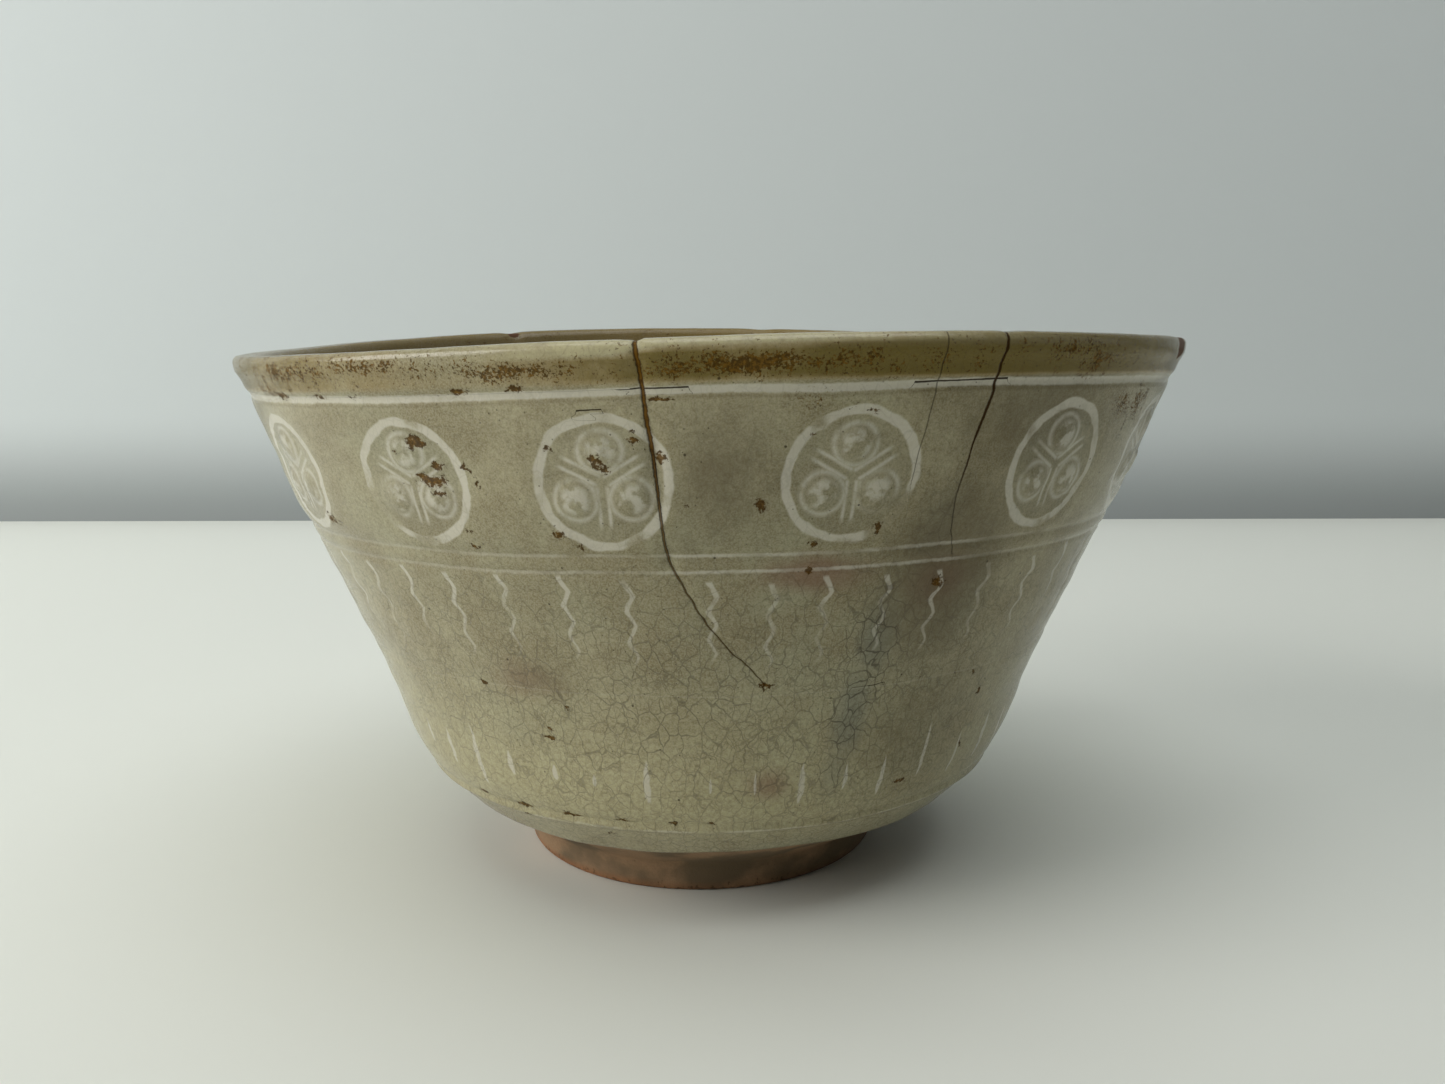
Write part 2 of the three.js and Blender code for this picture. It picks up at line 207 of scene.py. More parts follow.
def angles_round(front, count):
    """Angles of a pattern: those seen at the front, then the rest evenly round the back."""
    rest = count - len(front)
    step = (front[0] + 360 - front[-1]) / (rest + 1)
    return np.array([*front, *[front[-1] + step * (i + 1) for i in range(rest)]])


def wrapped(degrees):
    return (degrees + 180) % 360 - 180


def nearest(angles, at):
    """For each angle, which of the pattern's angles is nearest."""
    return np.argmin(np.abs(wrapped(angles[:, None] - at[None, :])), axis=1)


def smooth(value, low, high):
    t = np.clip((value - low) / (high - low), 0, 1)
    return t * t * (3 - 2 * t)


SPOT_FALL = 0.7


def spots(angle, height, places):
    """A soft field of spots: each place is angle, height, half width, half height (mm) and strength."""
    field = np.zeros(len(angle))
    for a, z, wide, high, strength in places:
        across = wrapped(angle - a) * math.pi / 180 * radius_at(z)
        q = (across / wide) ** 2 + ((height - z) / high) ** 2
        field = np.maximum(field, strength * np.exp(-q * SPOT_FALL))
    return field


def crack_ratio(angle, height, radius, path, wide, narrow):
    """Signed distance across a crack, in its own half widths, and the distance in millimetres."""
    z, a = np.array(path[::-1]).T
    at = np.interp(height, z, a)
    slope = np.interp(height, z, np.abs(np.gradient(a, z))) * math.pi / 180 * radius
    across = wrapped(angle - at) * math.pi / 180 * radius / np.sqrt(1 + slope**2)
    half = narrow + (wide - narrow) * smooth(height, z[0], z[-1])
    end = np.clip((z[0] - height) / 0.05, 0, FAR)
    ratio = np.sign(across + 1e-9) * np.minimum(np.abs(across) / half + end, FAR)
    return ratio, across


def ridge(value, half):
    """1 on a line, falling smoothly to 0 at that distance from it."""
    return np.clip(1 - np.abs(value) / half, 0, 1) ** 2 * (1 + 2 * np.minimum(np.abs(value) / half, 1))


def mean_noise(points, size, seed):
    """Soft noise from -1 to 1 at the points, with lumps of about that size in millimetres."""
    shift = Vector((seed * 17.3, seed * 5.1, seed * 9.7))
    return np.array([noise.noise(Vector(p) / size + shift) for p in points.tolist()])


class Wall:
    """Every point of the bowl's mesh: where it is on the true bowl, and what the surface does there."""

    def __init__(self, radius, angle, height, side, sizes):
        self.crack_depth, self.inlay_depth = sizes.crack_depth / MM, sizes.inlay_depth / MM
        self.glaze_roll = sizes.glaze_roll / MM
        self.radius, self.angle, self.height, self.side = radius, angle, height, side
        self.outer = side < 0.5
        self.gather_columns()
        ratios = [crack_ratio(self.angle, height, radius, *crack[:3])[0] for crack in CRACKS]
        self.ratios = np.stack(ratios, -1)

    def gather_columns(self):
        """Draws the columns of points in towards each crack, so that it has points enough."""
        for path, _, _, _, reach in CRACKS:
            across = crack_ratio(self.angle, self.height, self.radius, path, 1, 1)[1]
            lowest = path[-1][0]
            pull = COLUMN_PULL * np.exp(-((across / reach) ** 2)) * smooth(self.height, lowest - 4, lowest)
            pull = pull * smooth(self.radius, 20, 30)
            moved = across * pull / np.maximum(self.radius, 1)
            self.angle = self.angle - np.degrees(moved)

    def relief(self, points):
        """How far each point stands out from the true surface, in millimetres."""
        z, outer = self.height, self.outer
        wall = outer & (z > FOOT_TOP)
        out = np.zeros(len(z))
        # Hand-thrown unevenness: slow waves, and rings that climb a little as they go round.
        turn = np.radians(self.angle)
        rings = np.sin(z * 1.35 + turn + 2 * np.sin(turn)) * 0.035 + np.sin(z * 0.62 - turn) * 0.05
        out += np.where(z > FOOT_TOP, rings, 0) * np.where(outer, 1, 1.6)
        lumps = mean_noise(points, 14.0, 1) * 0.12 + mean_noise(points, 4.5, 2) * 0.03
        out += lumps * smooth(z, 1.0, 5.0)
        # Lines round the bowl.
        out -= np.where(wall, ridge(z - COLLAR_LINE, 1.0) * 1.25 * self.inlay_depth, 0)
        out += np.where(wall, ridge(z - COLLAR_LINE - 1.3, 0.9) * 0.1, 0)
        for line in (LOWER_LINE, UPPER_LINE):
            out -= np.where(wall, ridge(z - line, 0.8) * self.inlay_depth, 0)
        out += np.where(wall, ridge(z - KNEE_LINE, 0.8) * 0.32 - ridge(z - KNEE_LINE - 1.0, 0.8) * 0.16, 0)
        out -= np.where(wall, ridge(z - FAINT_LINE, 0.7) * 0.1, 0)
        # Where the glaze stops it hangs as a thick edge.
        edge = z - self.glaze_edge()
        out += np.where(wall, self.glaze_roll * ridge(edge - 1.0, 1.6) - 0.25 * smooth(-edge, -0.5, 0.3), 0)
        out += np.where(wall | ~outer, self.pattern_relief(), 0)
        # Cracks, shallower at the lip, a little step across the longest, and the chips beside them.
        lip = 1 - 0.6 * smooth(z, 77.5, 80)
        for ratio, (_, _, _, share, _) in zip(self.ratios.T, CRACKS):
            out -= self.crack_depth * share * lip * ridge(ratio, 1.5)
        longest = self.ratios[:, 0]
        step = CRACK_STEP * np.tanh(longest / 2) * np.exp(-np.abs(longest) / CRACK_STEP_REACH)
        out += np.where(np.abs(longest) < FAR - 5, step, 0)
        return out - self.chips()

    def glaze_edge(self):
        """The height at which the glaze stops, which wanders as it goes round."""
        t = np.radians(self.angle)
        return GLAZE_EDGE + 0.35 * np.sin(3 * t + 1) + 0.22 * np.sin(8 * t) + 0.1 * np.sin(19 * t + 2)

    def pattern_relief(self):
        at = angles_round(FRONT_ROUNDELS, ROUNDELS)
        across = wrapped(self.angle - at[nearest(self.angle, at)]) * math.pi / 180
        x = across * float(radius_at(ROUNDEL_HEIGHT))
        y = (self.height - ROUNDEL_HEIGHT) * FLATTENED
        rho, turn = np.hypot(x, y), np.arctan2(x, y)
        out = -self.inlay_depth * ridge(rho - RING_RADIUS, 1.2) - 0.24 * smooth(-rho, -7.4, -6.6)
        lobe = (turn + math.pi / 3) % (2 * math.pi / 3) - math.pi / 3
        px, py = rho * np.sin(lobe), rho * np.cos(lobe)
        dome = np.hypot(px / LOBE_ACROSS, (py - LOBE_OUT) / LOBE_ALONG)
        out = out + 0.38 * smooth(-dome, -1.0, -0.45)
        band = self.outer & (self.height > UPPER_LINE) & (self.height < COLLAR_LINE)
        out = np.where(band, out, 0)
        at = angles_round(FRONT_STROKES, STROKES)
        across = wrapped(self.angle - at[nearest(self.angle, at)]) * math.pi / 180
        x = across * self.radius
        t = (WAVE_TOP - self.height) / (WAVE_TOP - WAVE_FOOT)
        bend = 1 - np.abs((t * WAVE_BENDS) % 2 - 1)
        x = x - (bend * 2 - 1) * 0.5
        cut = ridge(x, 0.8) * smooth(t, -0.03, 0.04) * smooth(-t, -1.02, -0.95)
        return out - np.where(self.outer, 0.75 * self.inlay_depth * cut, 0)

    def chips(self):
        """How deep the flakes of the lip are."""
        lip = self.radius > RIM_RADIUS - LIP_THICKNESS - 1
        return np.where(lip, spots(self.angle, self.height, CHIPS), 0)


def draw_section(points):
    """Draws the half section as a chain of edges, point by point."""
    bpy.ops.mesh.primitive_plane_add(size=MM, location=(0, 0, 0))
    bpy.ops.object.mode_set(mode="EDIT")
    bpy.ops.mesh.select_all(action="SELECT")
    bpy.ops.mesh.merge(type="CENTER")
    turn = math.radians(-FINE_SPAN / 2)
    spot = [Vector((r * math.sin(turn), -r * math.cos(turn), z)) * MM for r, z in points.tolist()]
    bpy.ops.transform.translate(value=spot[0])
    for a, b in zip(spot, spot[1:]):
        bpy.ops.mesh.extrude_vertices_move(TRANSFORM_OT_translate={"value": b - a})
    bpy.ops.object.mode_set(mode="OBJECT")
    return bpy.context.object


FINE_SPAN, FINE_STEPS, COARSE_STEPS, RING_CUTS = 156, 66, 42, 3


def stored_rows(mesh):
    row = np.empty(len(mesh.vertices), np.float32)
    mesh.attributes["row"].data.foreach_get("value", row)
    return row


def cut_rings(mesh):
    """Divides every edge that runs round the bowl, so that each step of the spin becomes several columns."""
    row = stored_rows(mesh)
    ends = np.empty(len(mesh.edges) * 2, np.int32)
    mesh.edges.foreach_get("vertices", ends)
    ends = ends.reshape(-1, 2)
    bpy.context.tool_settings.mesh_select_mode = (False, True, False)
    mesh.vertices.foreach_set("select", np.ones(len(mesh.vertices), bool))
    mesh.polygons.foreach_set("select", np.zeros(len(mesh.polygons), bool))
    mesh.edges.foreach_set("select", np.abs(row[ends[:, 0]] - row[ends[:, 1]]) < 0.5)
    bpy.ops.object.mode_set(mode="EDIT")
    bpy.ops.mesh.subdivide(number_cuts=RING_CUTS)
    bpy.ops.object.mode_set(mode="OBJECT")
    bpy.context.tool_settings.mesh_select_mode = (True, False, False)


def turned_form(name):
    """The bowl as turned: its half section spun round the middle, finely where the cracks are."""
    points, sides = half_profile()
    piece = draw_section(points)
    piece.name = piece.data.name = name
    mesh = piece.data
    row = mesh.attributes.new("row", "FLOAT", "POINT")
    row.data.foreach_set("value", np.arange(len(points), dtype=np.float32))
    bpy.ops.object.mode_set(mode="EDIT")
    bpy.ops.mesh.select_all(action="SELECT")
    for span, steps in ((FINE_SPAN, FINE_STEPS), (360 - FINE_SPAN, COARSE_STEPS)):
        bpy.ops.mesh.spin(steps=steps, angle=math.radians(span), center=(0, 0, 0), axis=(0, 0, 1))
    bpy.ops.mesh.select_all(action="SELECT")
    bpy.ops.mesh.remove_doubles(threshold=1e-6)
    bpy.ops.object.mode_set(mode="OBJECT")
    cut_rings(mesh)
    bpy.ops.object.mode_set(mode="EDIT")
    bpy.ops.mesh.select_all(action="SELECT")
    bpy.ops.mesh.normals_make_consistent(inside=False)
    bpy.ops.object.mode_set(mode="OBJECT")
    return piece, points, sides


def put_attribute(mesh, name, kind, values):
    data = mesh.attributes.new(name, kind, "POINT").data
    data.foreach_set("vector" if kind == "FLOAT_VECTOR" else "color", values.astype(np.float32).ravel())


def put_uv(mesh, name, corners):
    layer = mesh.uv_layers.new(name=name, do_init=False)
    layer.data.foreach_set("uv", corners.astype(np.float32).ravel())


def make_bowl(sizes):
    piece, points, sides = turned_form("glazed_bowl")
    mesh = piece.data
    count = len(mesh.vertices)
    co = np.empty(count * 3, np.float32)
    mesh.vertices.foreach_get("co", co)
    co = co.reshape(-1, 3).astype(float) / MM
    row = np.rint(stored_rows(mesh)).astype(int)
    angle = np.degrees(np.arctan2(co[:, 0], -co[:, 1]))
    radius, height, side = points[row, 0], points[row, 1], sides[row]
    wall = Wall(radius, angle, height, side, sizes)
    turn = np.radians(wall.angle)
    true = place(radius, turn, height)
    along = np.gradient(points, axis=0)
    normal = np.stack([along[:, 1], -along[:, 0]], -1)
    normal /= np.linalg.norm(normal, axis=1, keepdims=True)
    out = wall.relief(true)
    n = normal[row]
    moved = place(radius + out * n[:, 0], turn, height + out * n[:, 1])
    moved[:, 2] = np.maximum(moved[:, 2], 0)
    mesh.vertices.foreach_set("co", (moved * MM).astype(np.float32).ravel())
    mesh.attributes.remove(mesh.attributes["row"])
    paint(mesh, wall)
    mesh.update()
    bpy.ops.object.select_all(action="DESELECT")
    piece.select_set(True)
    bpy.context.view_layer.objects.active = piece
    bpy.ops.object.shade_smooth()
    return piece


# Where the finish changes. Each spot is: degrees round, height, half width, half height and strength.

RUST_SPOTS = [
    (-4.3, 74.6, 1.7, 0.18, 1.2), (-24.5, 76.0, 1.3, 0.5, 1.0), (-18.3, 76.2, 1.2, 0.45, 1.0),
    (-52, 75.9, 1.6, 0.7, 0.9), (-44, 75.7, 2.0, 0.5, 0.7), (-38, 75.8, 1.6, 0.5, 0.6),
    (-32, 70.2, 0.5, 0.9, 1.0), (-30.6, 70.1, 0.5, 0.7, 0.9), (-34, 69, 0.5, 0.8, 0.8),
    (-29.3, 67.2, 1.0, 0.6, 1.0), (-32, 66, 0.7, 0.4, 1.0), (-30.2, 65.3, 2.2, 0.6, 1.0),
    (-29.6, 64.0, 1.5, 0.4, 0.8), (-25.5, 67.2, 0.5, 0.5, 1.0), (-25, 66.2, 0.5, 0.4, 0.9),
    (-24.8, 65, 0.4, 0.5, 0.9), (-26.3, 60.2, 0.5, 0.5, 0.9), (-27.5, 59, 0.6, 0.5, 1.0),
    (-26.8, 57.2, 0.6, 0.5, 0.9), (-52, 59.0, 1.2, 0.8, 0.9), (-49.5, 58.4, 1.0, 0.6, 0.6),
    (-10.6, 67.2, 0.9, 0.5, 1.0), (-9.4, 67.5, 0.5, 0.7, 1.0), (-11.3, 68, 0.3, 0.7, 1.0),
    (-10.2, 66.4, 0.6, 0.4, 0.9), (-6.6, 71, 0.6, 0.5, 1.0), (-7.2, 70, 0.7, 0.4, 1.0),
    (-4.5, 68, 0.6, 0.7, 1.0), (-15.8, 69.4, 0.6, 0.6, 0.9), (-10.6, 65, 0.3, 0.3, 0.9),
    (-16.2, 59, 0.8, 0.45, 1.1), (-14, 57.4, 0.6, 0.45, 0.9), (-2.7, 63, 0.5, 0.3, 0.9),
    (-2, 62.5, 0.4, 0.3, 0.9), (16.2, 72.5, 0.6, 0.4, 1.1), (17.1, 72.5, 0.7, 0.35, 1.1),
    (11, 70.2, 0.6, 0.4, 0.9), (12.2, 57.2, 0.6, 0.45, 1.1), (12.2, 53.8, 0.6, 0.5, 1.2),
    (19.2, 58.8, 0.3, 0.9, 0.9), (5.8, 62.3, 0.25, 0.8, 0.9), (29.3, 51, 0.75, 0.75, 1.3),
    (49, 66, 0.4, 0.9, 0.9), (54.8, 69, 0.6, 1.8, 0.8), (42, 36.7, 0.4, 0.5, 0.9),
    (45.7, 33, 0.35, 0.8, 1.0), (45.7, 24.7, 0.4, 0.7, 0.8), (46.2, 50.8, 0.35, 0.5, 0.8),
    (29.5, 42.4, 0.35, 0.35, 0.9), (30.7, 37.5, 0.5, 0.4, 1.0), (31.6, 37.7, 0.4, 0.4, 0.9),
    (8, 38.5, 0.8, 0.5, 1.0), (33, 21.5, 1.2, 0.5, 0.9), (-24, 33, 0.4, 0.5, 1.0),
    (-23, 31.5, 0.5, 0.5, 1.0), (-23.5, 30, 1.0, 0.35, 1.1), (-20, 35, 0.6, 0.5, 0.8),
    (-33, 37.3, 0.6, 0.5, 0.9), (-43, 17.9, 1.0, 0.4, 1.0), (-33, 17.8, 1.4, 0.4, 1.1),
    (-32.6, 16.2, 0.8, 0.35, 1.1), (-24, 17.7, 1.2, 0.4, 1.0), (-22.5, 17.7, 1.0, 0.35, 0.9),
    (-14, 17.8, 1.0, 0.4, 0.9), (-5.5, 17.8, 0.7, 0.45, 1.0), (1, 17.9, 0.6, 0.35, 0.9),
    (4, 19.5, 0.35, 0.7, 0.9), (-17, 15.2, 0.8, 0.35, 0.8), (24, 23.5, 0.6, 0.25, 0.9),
]
BLUSH_SPOTS = [
    (12.5, 53.4, 6.0, 2.2, 1.0), (29, 51.2, 4.2, 3.4, 1.0), (9.5, 24, 2.8, 2.4, 0.8),
    (-26, 38.6, 6.0, 3.0, 0.55), (2, 66, 6.0, 5.0, 0.3), (38, 37, 6.5, 5.0, 0.25), (23, 40, 4.0, 4.0, 0.15),
    (-150, 45, 9, 8, 0.4), (120, 30, 9, 6, 0.4), (-100, 60, 8, 5, 0.3),
]
GREY_SPOTS = [
    (22.5, 44, 3.0, 6.0, 0.9), (21, 34, 2.8, 7.0, 0.9), (20, 25, 2.4, 5.0, 0.6), (27, 59, 4.0, 7.0, 0.45),
    (-33, 35, 4.0, 4.0, 0.4), (-30, 31, 5.0, 3.5, 0.45), (-40, 58, 4.0, 3.0, 0.3), (46, 60, 4, 5, 0.3),
    (150, 40, 6, 10, 0.6), (-80, 50, 5, 9, 0.4),
]
SPECKLE_SPOTS = [
    (-19, 78.1, 6.5, 0.8, 0.75), (4, 78.2, 7.0, 0.9, 1.0), (-1, 77.5, 3.5, 0.7, 0.8),
    (-47, 78.9, 8, 1.0, 0.7), (-36, 79.4, 7, 0.8, 0.7), (-27, 78.4, 5, 0.9, 0.38), (14, 78.0, 5, 1.2, 0.5),
    (38, 79, 4, 1.0, 0.6), (43, 77.5, 2.5, 1.6, 0.6), (-55, 76.2, 3, 0.8, 0.8), (56, 72.4, 2.6, 1.8, 0.75),
    (51.5, 72.5, 1.8, 1.3, 0.7), (12, 74, 5, 1.5, 0.2), (-110, 78.6, 9, 0.9, 0.8), (140, 78.4, 9, 0.9, 0.8),
    (170, 78.8, 8, 0.8, 0.7), (100, 78.3, 6, 0.9, 0.7), (-160, 78.2, 7, 0.9, 0.8),
]
# Tea stains, and painted shade: the broad spots on the right, between about 30 and 36 degrees round, darken
# the side turned from the light.
TEA_AND_SHADE_SPOTS = [
    (2, 66, 6.5, 8.0, 1.0), (-3, 58, 5, 3, 0.6), (18, 77, 8, 1.5, 0.6), (48, 70, 8, 6, 0.7),
    (60, 50, 8, 14, 0.5), (29, 57, 5.5, 5, 0.9), (24, 52, 4, 3, 0.5), (5, 46, 5, 4, 0.4),
    (-22, 39, 6, 4, 0.5), (-30, 66, 3, 3, 0.4), (100, 60, 12, 9, 0.7), (30, 52, 9, 11, 1.5),
    (36, 73, 14, 9, 1.0), (34, 30, 11, 12, 0.8), (-120, 50, 12, 9, 0.6), (160, 66, 14, 8, 0.7),
]
# Where the slip is worn thin.
WORN_SPOTS = [
    (-38.6, 62, 2.6, 3.6, 1.1), (-34, 57.5, 3.4, 1.2, 0.7), (-31, 72.5, 2.4, 1.4, 0.6),
    (-7, 57.5, 2.0, 1.6, 0.9), (-4.3, 63, 1.6, 2.4, 0.5), (20.5, 59.5, 2.8, 3.0, 1.4),
    (10.8, 71.4, 2.0, 1.3, 0.7), (15.5, 56.4, 3.0, 1.1, 0.8), (43.5, 57, 3.0, 1.6, 0.6),
    (36.5, 69, 1.6, 2.4, 0.5), (-15, 56.8, 1.8, 1.2, 0.8), (140, 60, 3, 4, 1), (-100, 70, 3, 4, 1),
    (95, 58, 3, 3, 1), (-160, 66, 3, 4, 1),
]
BARE_SPOTS = [(66, 80.0, 3.2, 1.9, 1.3), (118, 80.6, 2.0, 1.0, 1.0), (-142, 80.8, 1.6, 0.9, 1.0)]
CRAZED_SPOTS = [(0, 35, 26, 16, 1.0), (-25, 40, 18, 14, 0.7), (22, 40, 5, 16, 1.8), (180, 38, 40, 18, 1)]
# The spot where the lip gets its painted highlight, and how strong the tea stains and painted shade are.
PAINTED_HIGHLIGHT_ON_LIP, TEA_AND_SHADE_STRENGTH = (-1, 79.0, 21, 1, 1.4), 0.62
# Small flakes gone from the lip, and the bare patch at its right end: strength is the depth.
CHIPS = [
    (-6.7, 81.0, 0.8, 0.9, 0.12), (30.4, 81.0, 0.8, 0.8, 0.12), (66, 80.0, 3.2, 1.7, 0.14),
    (-24.5, 75.9, 1.3, 0.5, 0.2), (-18.3, 76.1, 1.1, 0.4, 0.18), (118, 80.6, 2.0, 1.0, 0.4),
    (-142, 80.8, 1.6, 0.9, 0.35), (171, 80.4, 2.4, 1.1, 0.3),
]
# How strong the ochre of the rim and the double line are, as (degrees round, share). The ochre is thinned at
# the front left, partly a lighter stain and partly a painted highlight.
OCHRE_AND_HIGHLIGHT_ROUND_RIM = [
    (-180, 0.8), (-70, 0.8), (-58, 0.75), (-50, 0.66), (-40, 0.46), (-26, 0.2), (-14, 0.42), (-8, 0.76),
    (8, 0.72), (18, 0.83), (28, 0.94), (90, 0.9), (180, 0.8),
]
LINES_ROUND = [
    (-180, 0.8), (-60, 0.25), (-45, 0.3), (-30, 0.5), (-8, 0.6), (2, 0.95), (15, 1), (40, 0.45), (60, 0.6),
    (90, 0.8), (180, 0.8),
]
# Level hairlines: first angle, height there, last angle, height there.
HAIRLINES = [
    (-7.6, 75.7, -1.5, 75.75), (20.2, 75.6, 31.5, 75.85), (-12.5, 73.5, -9, 73.6), (19.8, 37.2, 25.2, 37.6),
]
HAIRLINE_HALF, SEED = 0.15, 7
# What the flat maps hold where the pattern isn't: on the inside of the wall.
NO_ROUNDEL, NO_STROKE = 90, 9


def paint(mesh, wall):
    """Stores, point by point, where each finish lies: the materials read these."""
    a, z = wall.angle, wall.height
    outer = wall.outer.astype(float)
    rng = np.random.default_rng(SEED)
    edge = np.where(wall.outer, z - wall.glaze_edge(), FAR)
    put_attribute(mesh, "wall", "FLOAT_VECTOR", np.stack([z, edge, 1 - outer], -1))
    put_attribute(mesh, "cracks", "FLOAT_VECTOR", wall.ratios)
    hair = np.full(len(a), float(FAR))
    for a0, z0, a1, z1 in HAIRLINES:
        ratio = (z - np.interp(a, [a0, a1], [z0, z1])) / HAIRLINE_HALF
        end = np.maximum(np.maximum(a0 - a, a - a1), 0) / 0.3
        ratio = np.clip(ratio * (1 + 0.25 * ratio**2) + np.sign(ratio) * FAR * end, -FAR, FAR)
        hair = np.where((np.abs(ratio) < np.abs(hair)) & wall.outer, ratio, hair)

    def strewn(count, *ranges):
        """Spots at random: for each of a spot's numbers the lowest and highest, or the number itself."""
        return [tuple(r if np.isscalar(r) else rng.uniform(*r) for r in ranges) for _ in range(count)]

    # Stains round the back and on the inside, which the front's are like.
    back = strewn(46, (72, 288), (18, 79), (0.4, 1.4), (0.35, 0.9), (0.7, 1.1))
    back += strewn(9, (72, 288), (77.2, 79.6), (3, 8), 0.8, (0.5, 0.85))
    inside = strewn(30, (-180, 180), (14, 76), (0.4, 1.6), (0.4, 1.2), (0.6, 1.0))
    rust = np.where(wall.outer, spots(a, z, RUST_SPOTS + back), spots(a, z, inside))
    blush = spots(a, z, BLUSH_SPOTS) * outer
    grey = spots(a, z, GREY_SPOTS) * outer
    ochre_and_highlight_round = np.interp(wrapped(a), *zip(*OCHRE_AND_HIGHLIGHT_ROUND_RIM))
    # Painted highlight: the rim's ochre is taken off the top of the lip at the front.
    lip_from = np.interp(wrapped(a), [-8, -4], [79.0, 79.8])
    painted_highlight_on_lip = smooth(z, lip_from, lip_from + 0.7) * spots(a, np.full(len(a), PAINTED_HIGHLIGHT_ON_LIP[1]), [PAINTED_HIGHLIGHT_ON_LIP])
    ochre = smooth(z, COLLAR_LINE + 0.4, COLLAR_LINE + 1.6)
    ochre = ochre * np.where(wall.outer, ochre_and_highlight_round, 0.5 * smooth(z, 60, 80))
    ochre = ochre * (1 - 0.8 * np.clip(painted_highlight_on_lip, 0, 1))
    tea = TEA_AND_SHADE_STRENGTH * spots(a, z, TEA_AND_SHADE_SPOTS) * outer
    put_attribute(mesh, "stains", "FLOAT_COLOR", np.stack([rust, blush, grey, ochre], -1))
    worn = spots(a, z, WORN_SPOTS) * outer
    put_attribute(mesh, "wear", "FLOAT_VECTOR", np.stack([tea, worn, spots(a, z, SPECKLE_SPOTS) * outer], -1))
    bare = spots(a, z, BARE_SPOTS)
    craze = (0.4 + 0.35 * spots(a, z, CRAZED_SPOTS)) * (1 - 0.55 * smooth(z, 46, 58))
    line_fade = np.interp(wrapped(a), *zip(*LINES_ROUND))
    put_attribute(mesh, "marks", "FLOAT_COLOR", np.stack([hair, bare, craze, line_fade], -1))
    paint_pattern(mesh, wall, rng)


def paint_pattern(mesh, wall, rng):
    """Flat maps of the pattern's repeats: each face takes the roundel or stroke nearest to it."""
    loops = np.empty(len(mesh.loops), np.int32)
    mesh.loops.foreach_get("vertex_index", loops)
    totals = np.empty(len(mesh.polygons), np.int32)
    mesh.polygons.foreach_get("loop_total", totals)
    starts = np.concatenate([[0], np.cumsum(totals)[:-1]])
    face = np.repeat(np.arange(len(totals)), totals)
    a, z, r = wall.angle[loops], wall.height[loops], wall.radius[loops]
    first = a[starts]
    middle = first + np.add.reduceat(wrapped(a - first[face]), starts) / totals
    off_side = wall.side[loops] > 0.5

    def local(at):
        which = nearest(middle, at)
        return which[face], wrapped(a - at[which][face]) * math.pi / 180

    at = angles_round(FRONT_ROUNDELS, ROUNDELS)
    which, across = local(at)
    x = across * float(radius_at(ROUNDEL_HEIGHT))
    y = (z - ROUNDEL_HEIGHT) * FLATTENED
    put_uv(mesh, "roundel", np.stack([x, np.where(off_side, NO_ROUNDEL, y)], -1))

    at = angles_round(FRONT_STROKES, STROKES)
    which, across = local(at)
    order = np.arange(STROKES)
    lowered = np.where(order > 6, 0.8, 0) * (order < len(FRONT_STROKES))
    top = WAVE_TOP + rng.uniform(-0.4, 0.3, STROKES) - lowered
    foot = WAVE_FOOT + rng.uniform(-0.6, 1.2, STROKES)
    t = (top[which] - z) / (top - foot)[which]
    put_uv(mesh, "wave", np.stack([across * r, np.where(off_side, NO_STROKE, t)], -1))

    shorts = np.array(FRONT_SHORTS)
    rest = STROKES - len(shorts)
    low, high = rng.uniform(20, 23.5, rest), rng.uniform(25, 29, rest)
    strength = rng.uniform(0.4, 1.0, rest)
    at = angles_round(shorts[:, 0], STROKES)
    low, high, strength = (np.concatenate([shorts[:, k], v]) for k, v in ((1, low), (2, high), (3, strength)))
    which, across = local(at)
    t = (high[which] - z) / (high - low)[which]
    x = across * r / np.maximum(strength[which], 0.3)
    put_uv(mesh, "short", np.stack([x, np.where(off_side, NO_STROKE, t)], -1))


# Finishes

# How large the lumps of each noise are, in millimetres.
BROAD, CLOUD, FADE, UNEVEN, GRAIN, FLECK = 34, 9, 6.5, 2.0, 0.55, 0.22
RAGGED, DOTS, SHAKE, LICK = 0.55, 0.36, 0.7, 3.0
# How far each layer covers what is under it.
SLIP_COVER, CRAZE_COVER, PINHOLE_COVER, RUST_COVER, SPECKLE_COVER = 0.74, 0.66, 0.75, 0.9, 0.85
CRACK_COVER, BARE_COVER, TEA_AND_SHADE_COVER, GREY_COVER, BLUSH_COVER, OCHRE_COVER = 0.96, 0.85, 0.62, 0.6, 0.6, 0.93
# (cell size, half a line's width) of the crazing's two nets, and how they are drawn out up the wall.
CRAZE_NETS, CRAZE_STRETCH = ((1.0, 0.02), (2.0, 0.035)), (1.0, 1.0, 0.55)
# (spacing, size, size with its soft edge) of the two kinds of pinhole, and the share of places without one.
PINHOLES, NO_PINHOLE = ((3.0, 0.03, 0.07), (1.1, 0.06, 0.11)), 0.5
GLAZE_ROUGHNESS, CLAY_ROUGHNESS, STAGE_ROUGHNESS, GLASS_IOR = 0.15, 0.78, 0.75, 1.5
FINE_RELIEF = 0.55


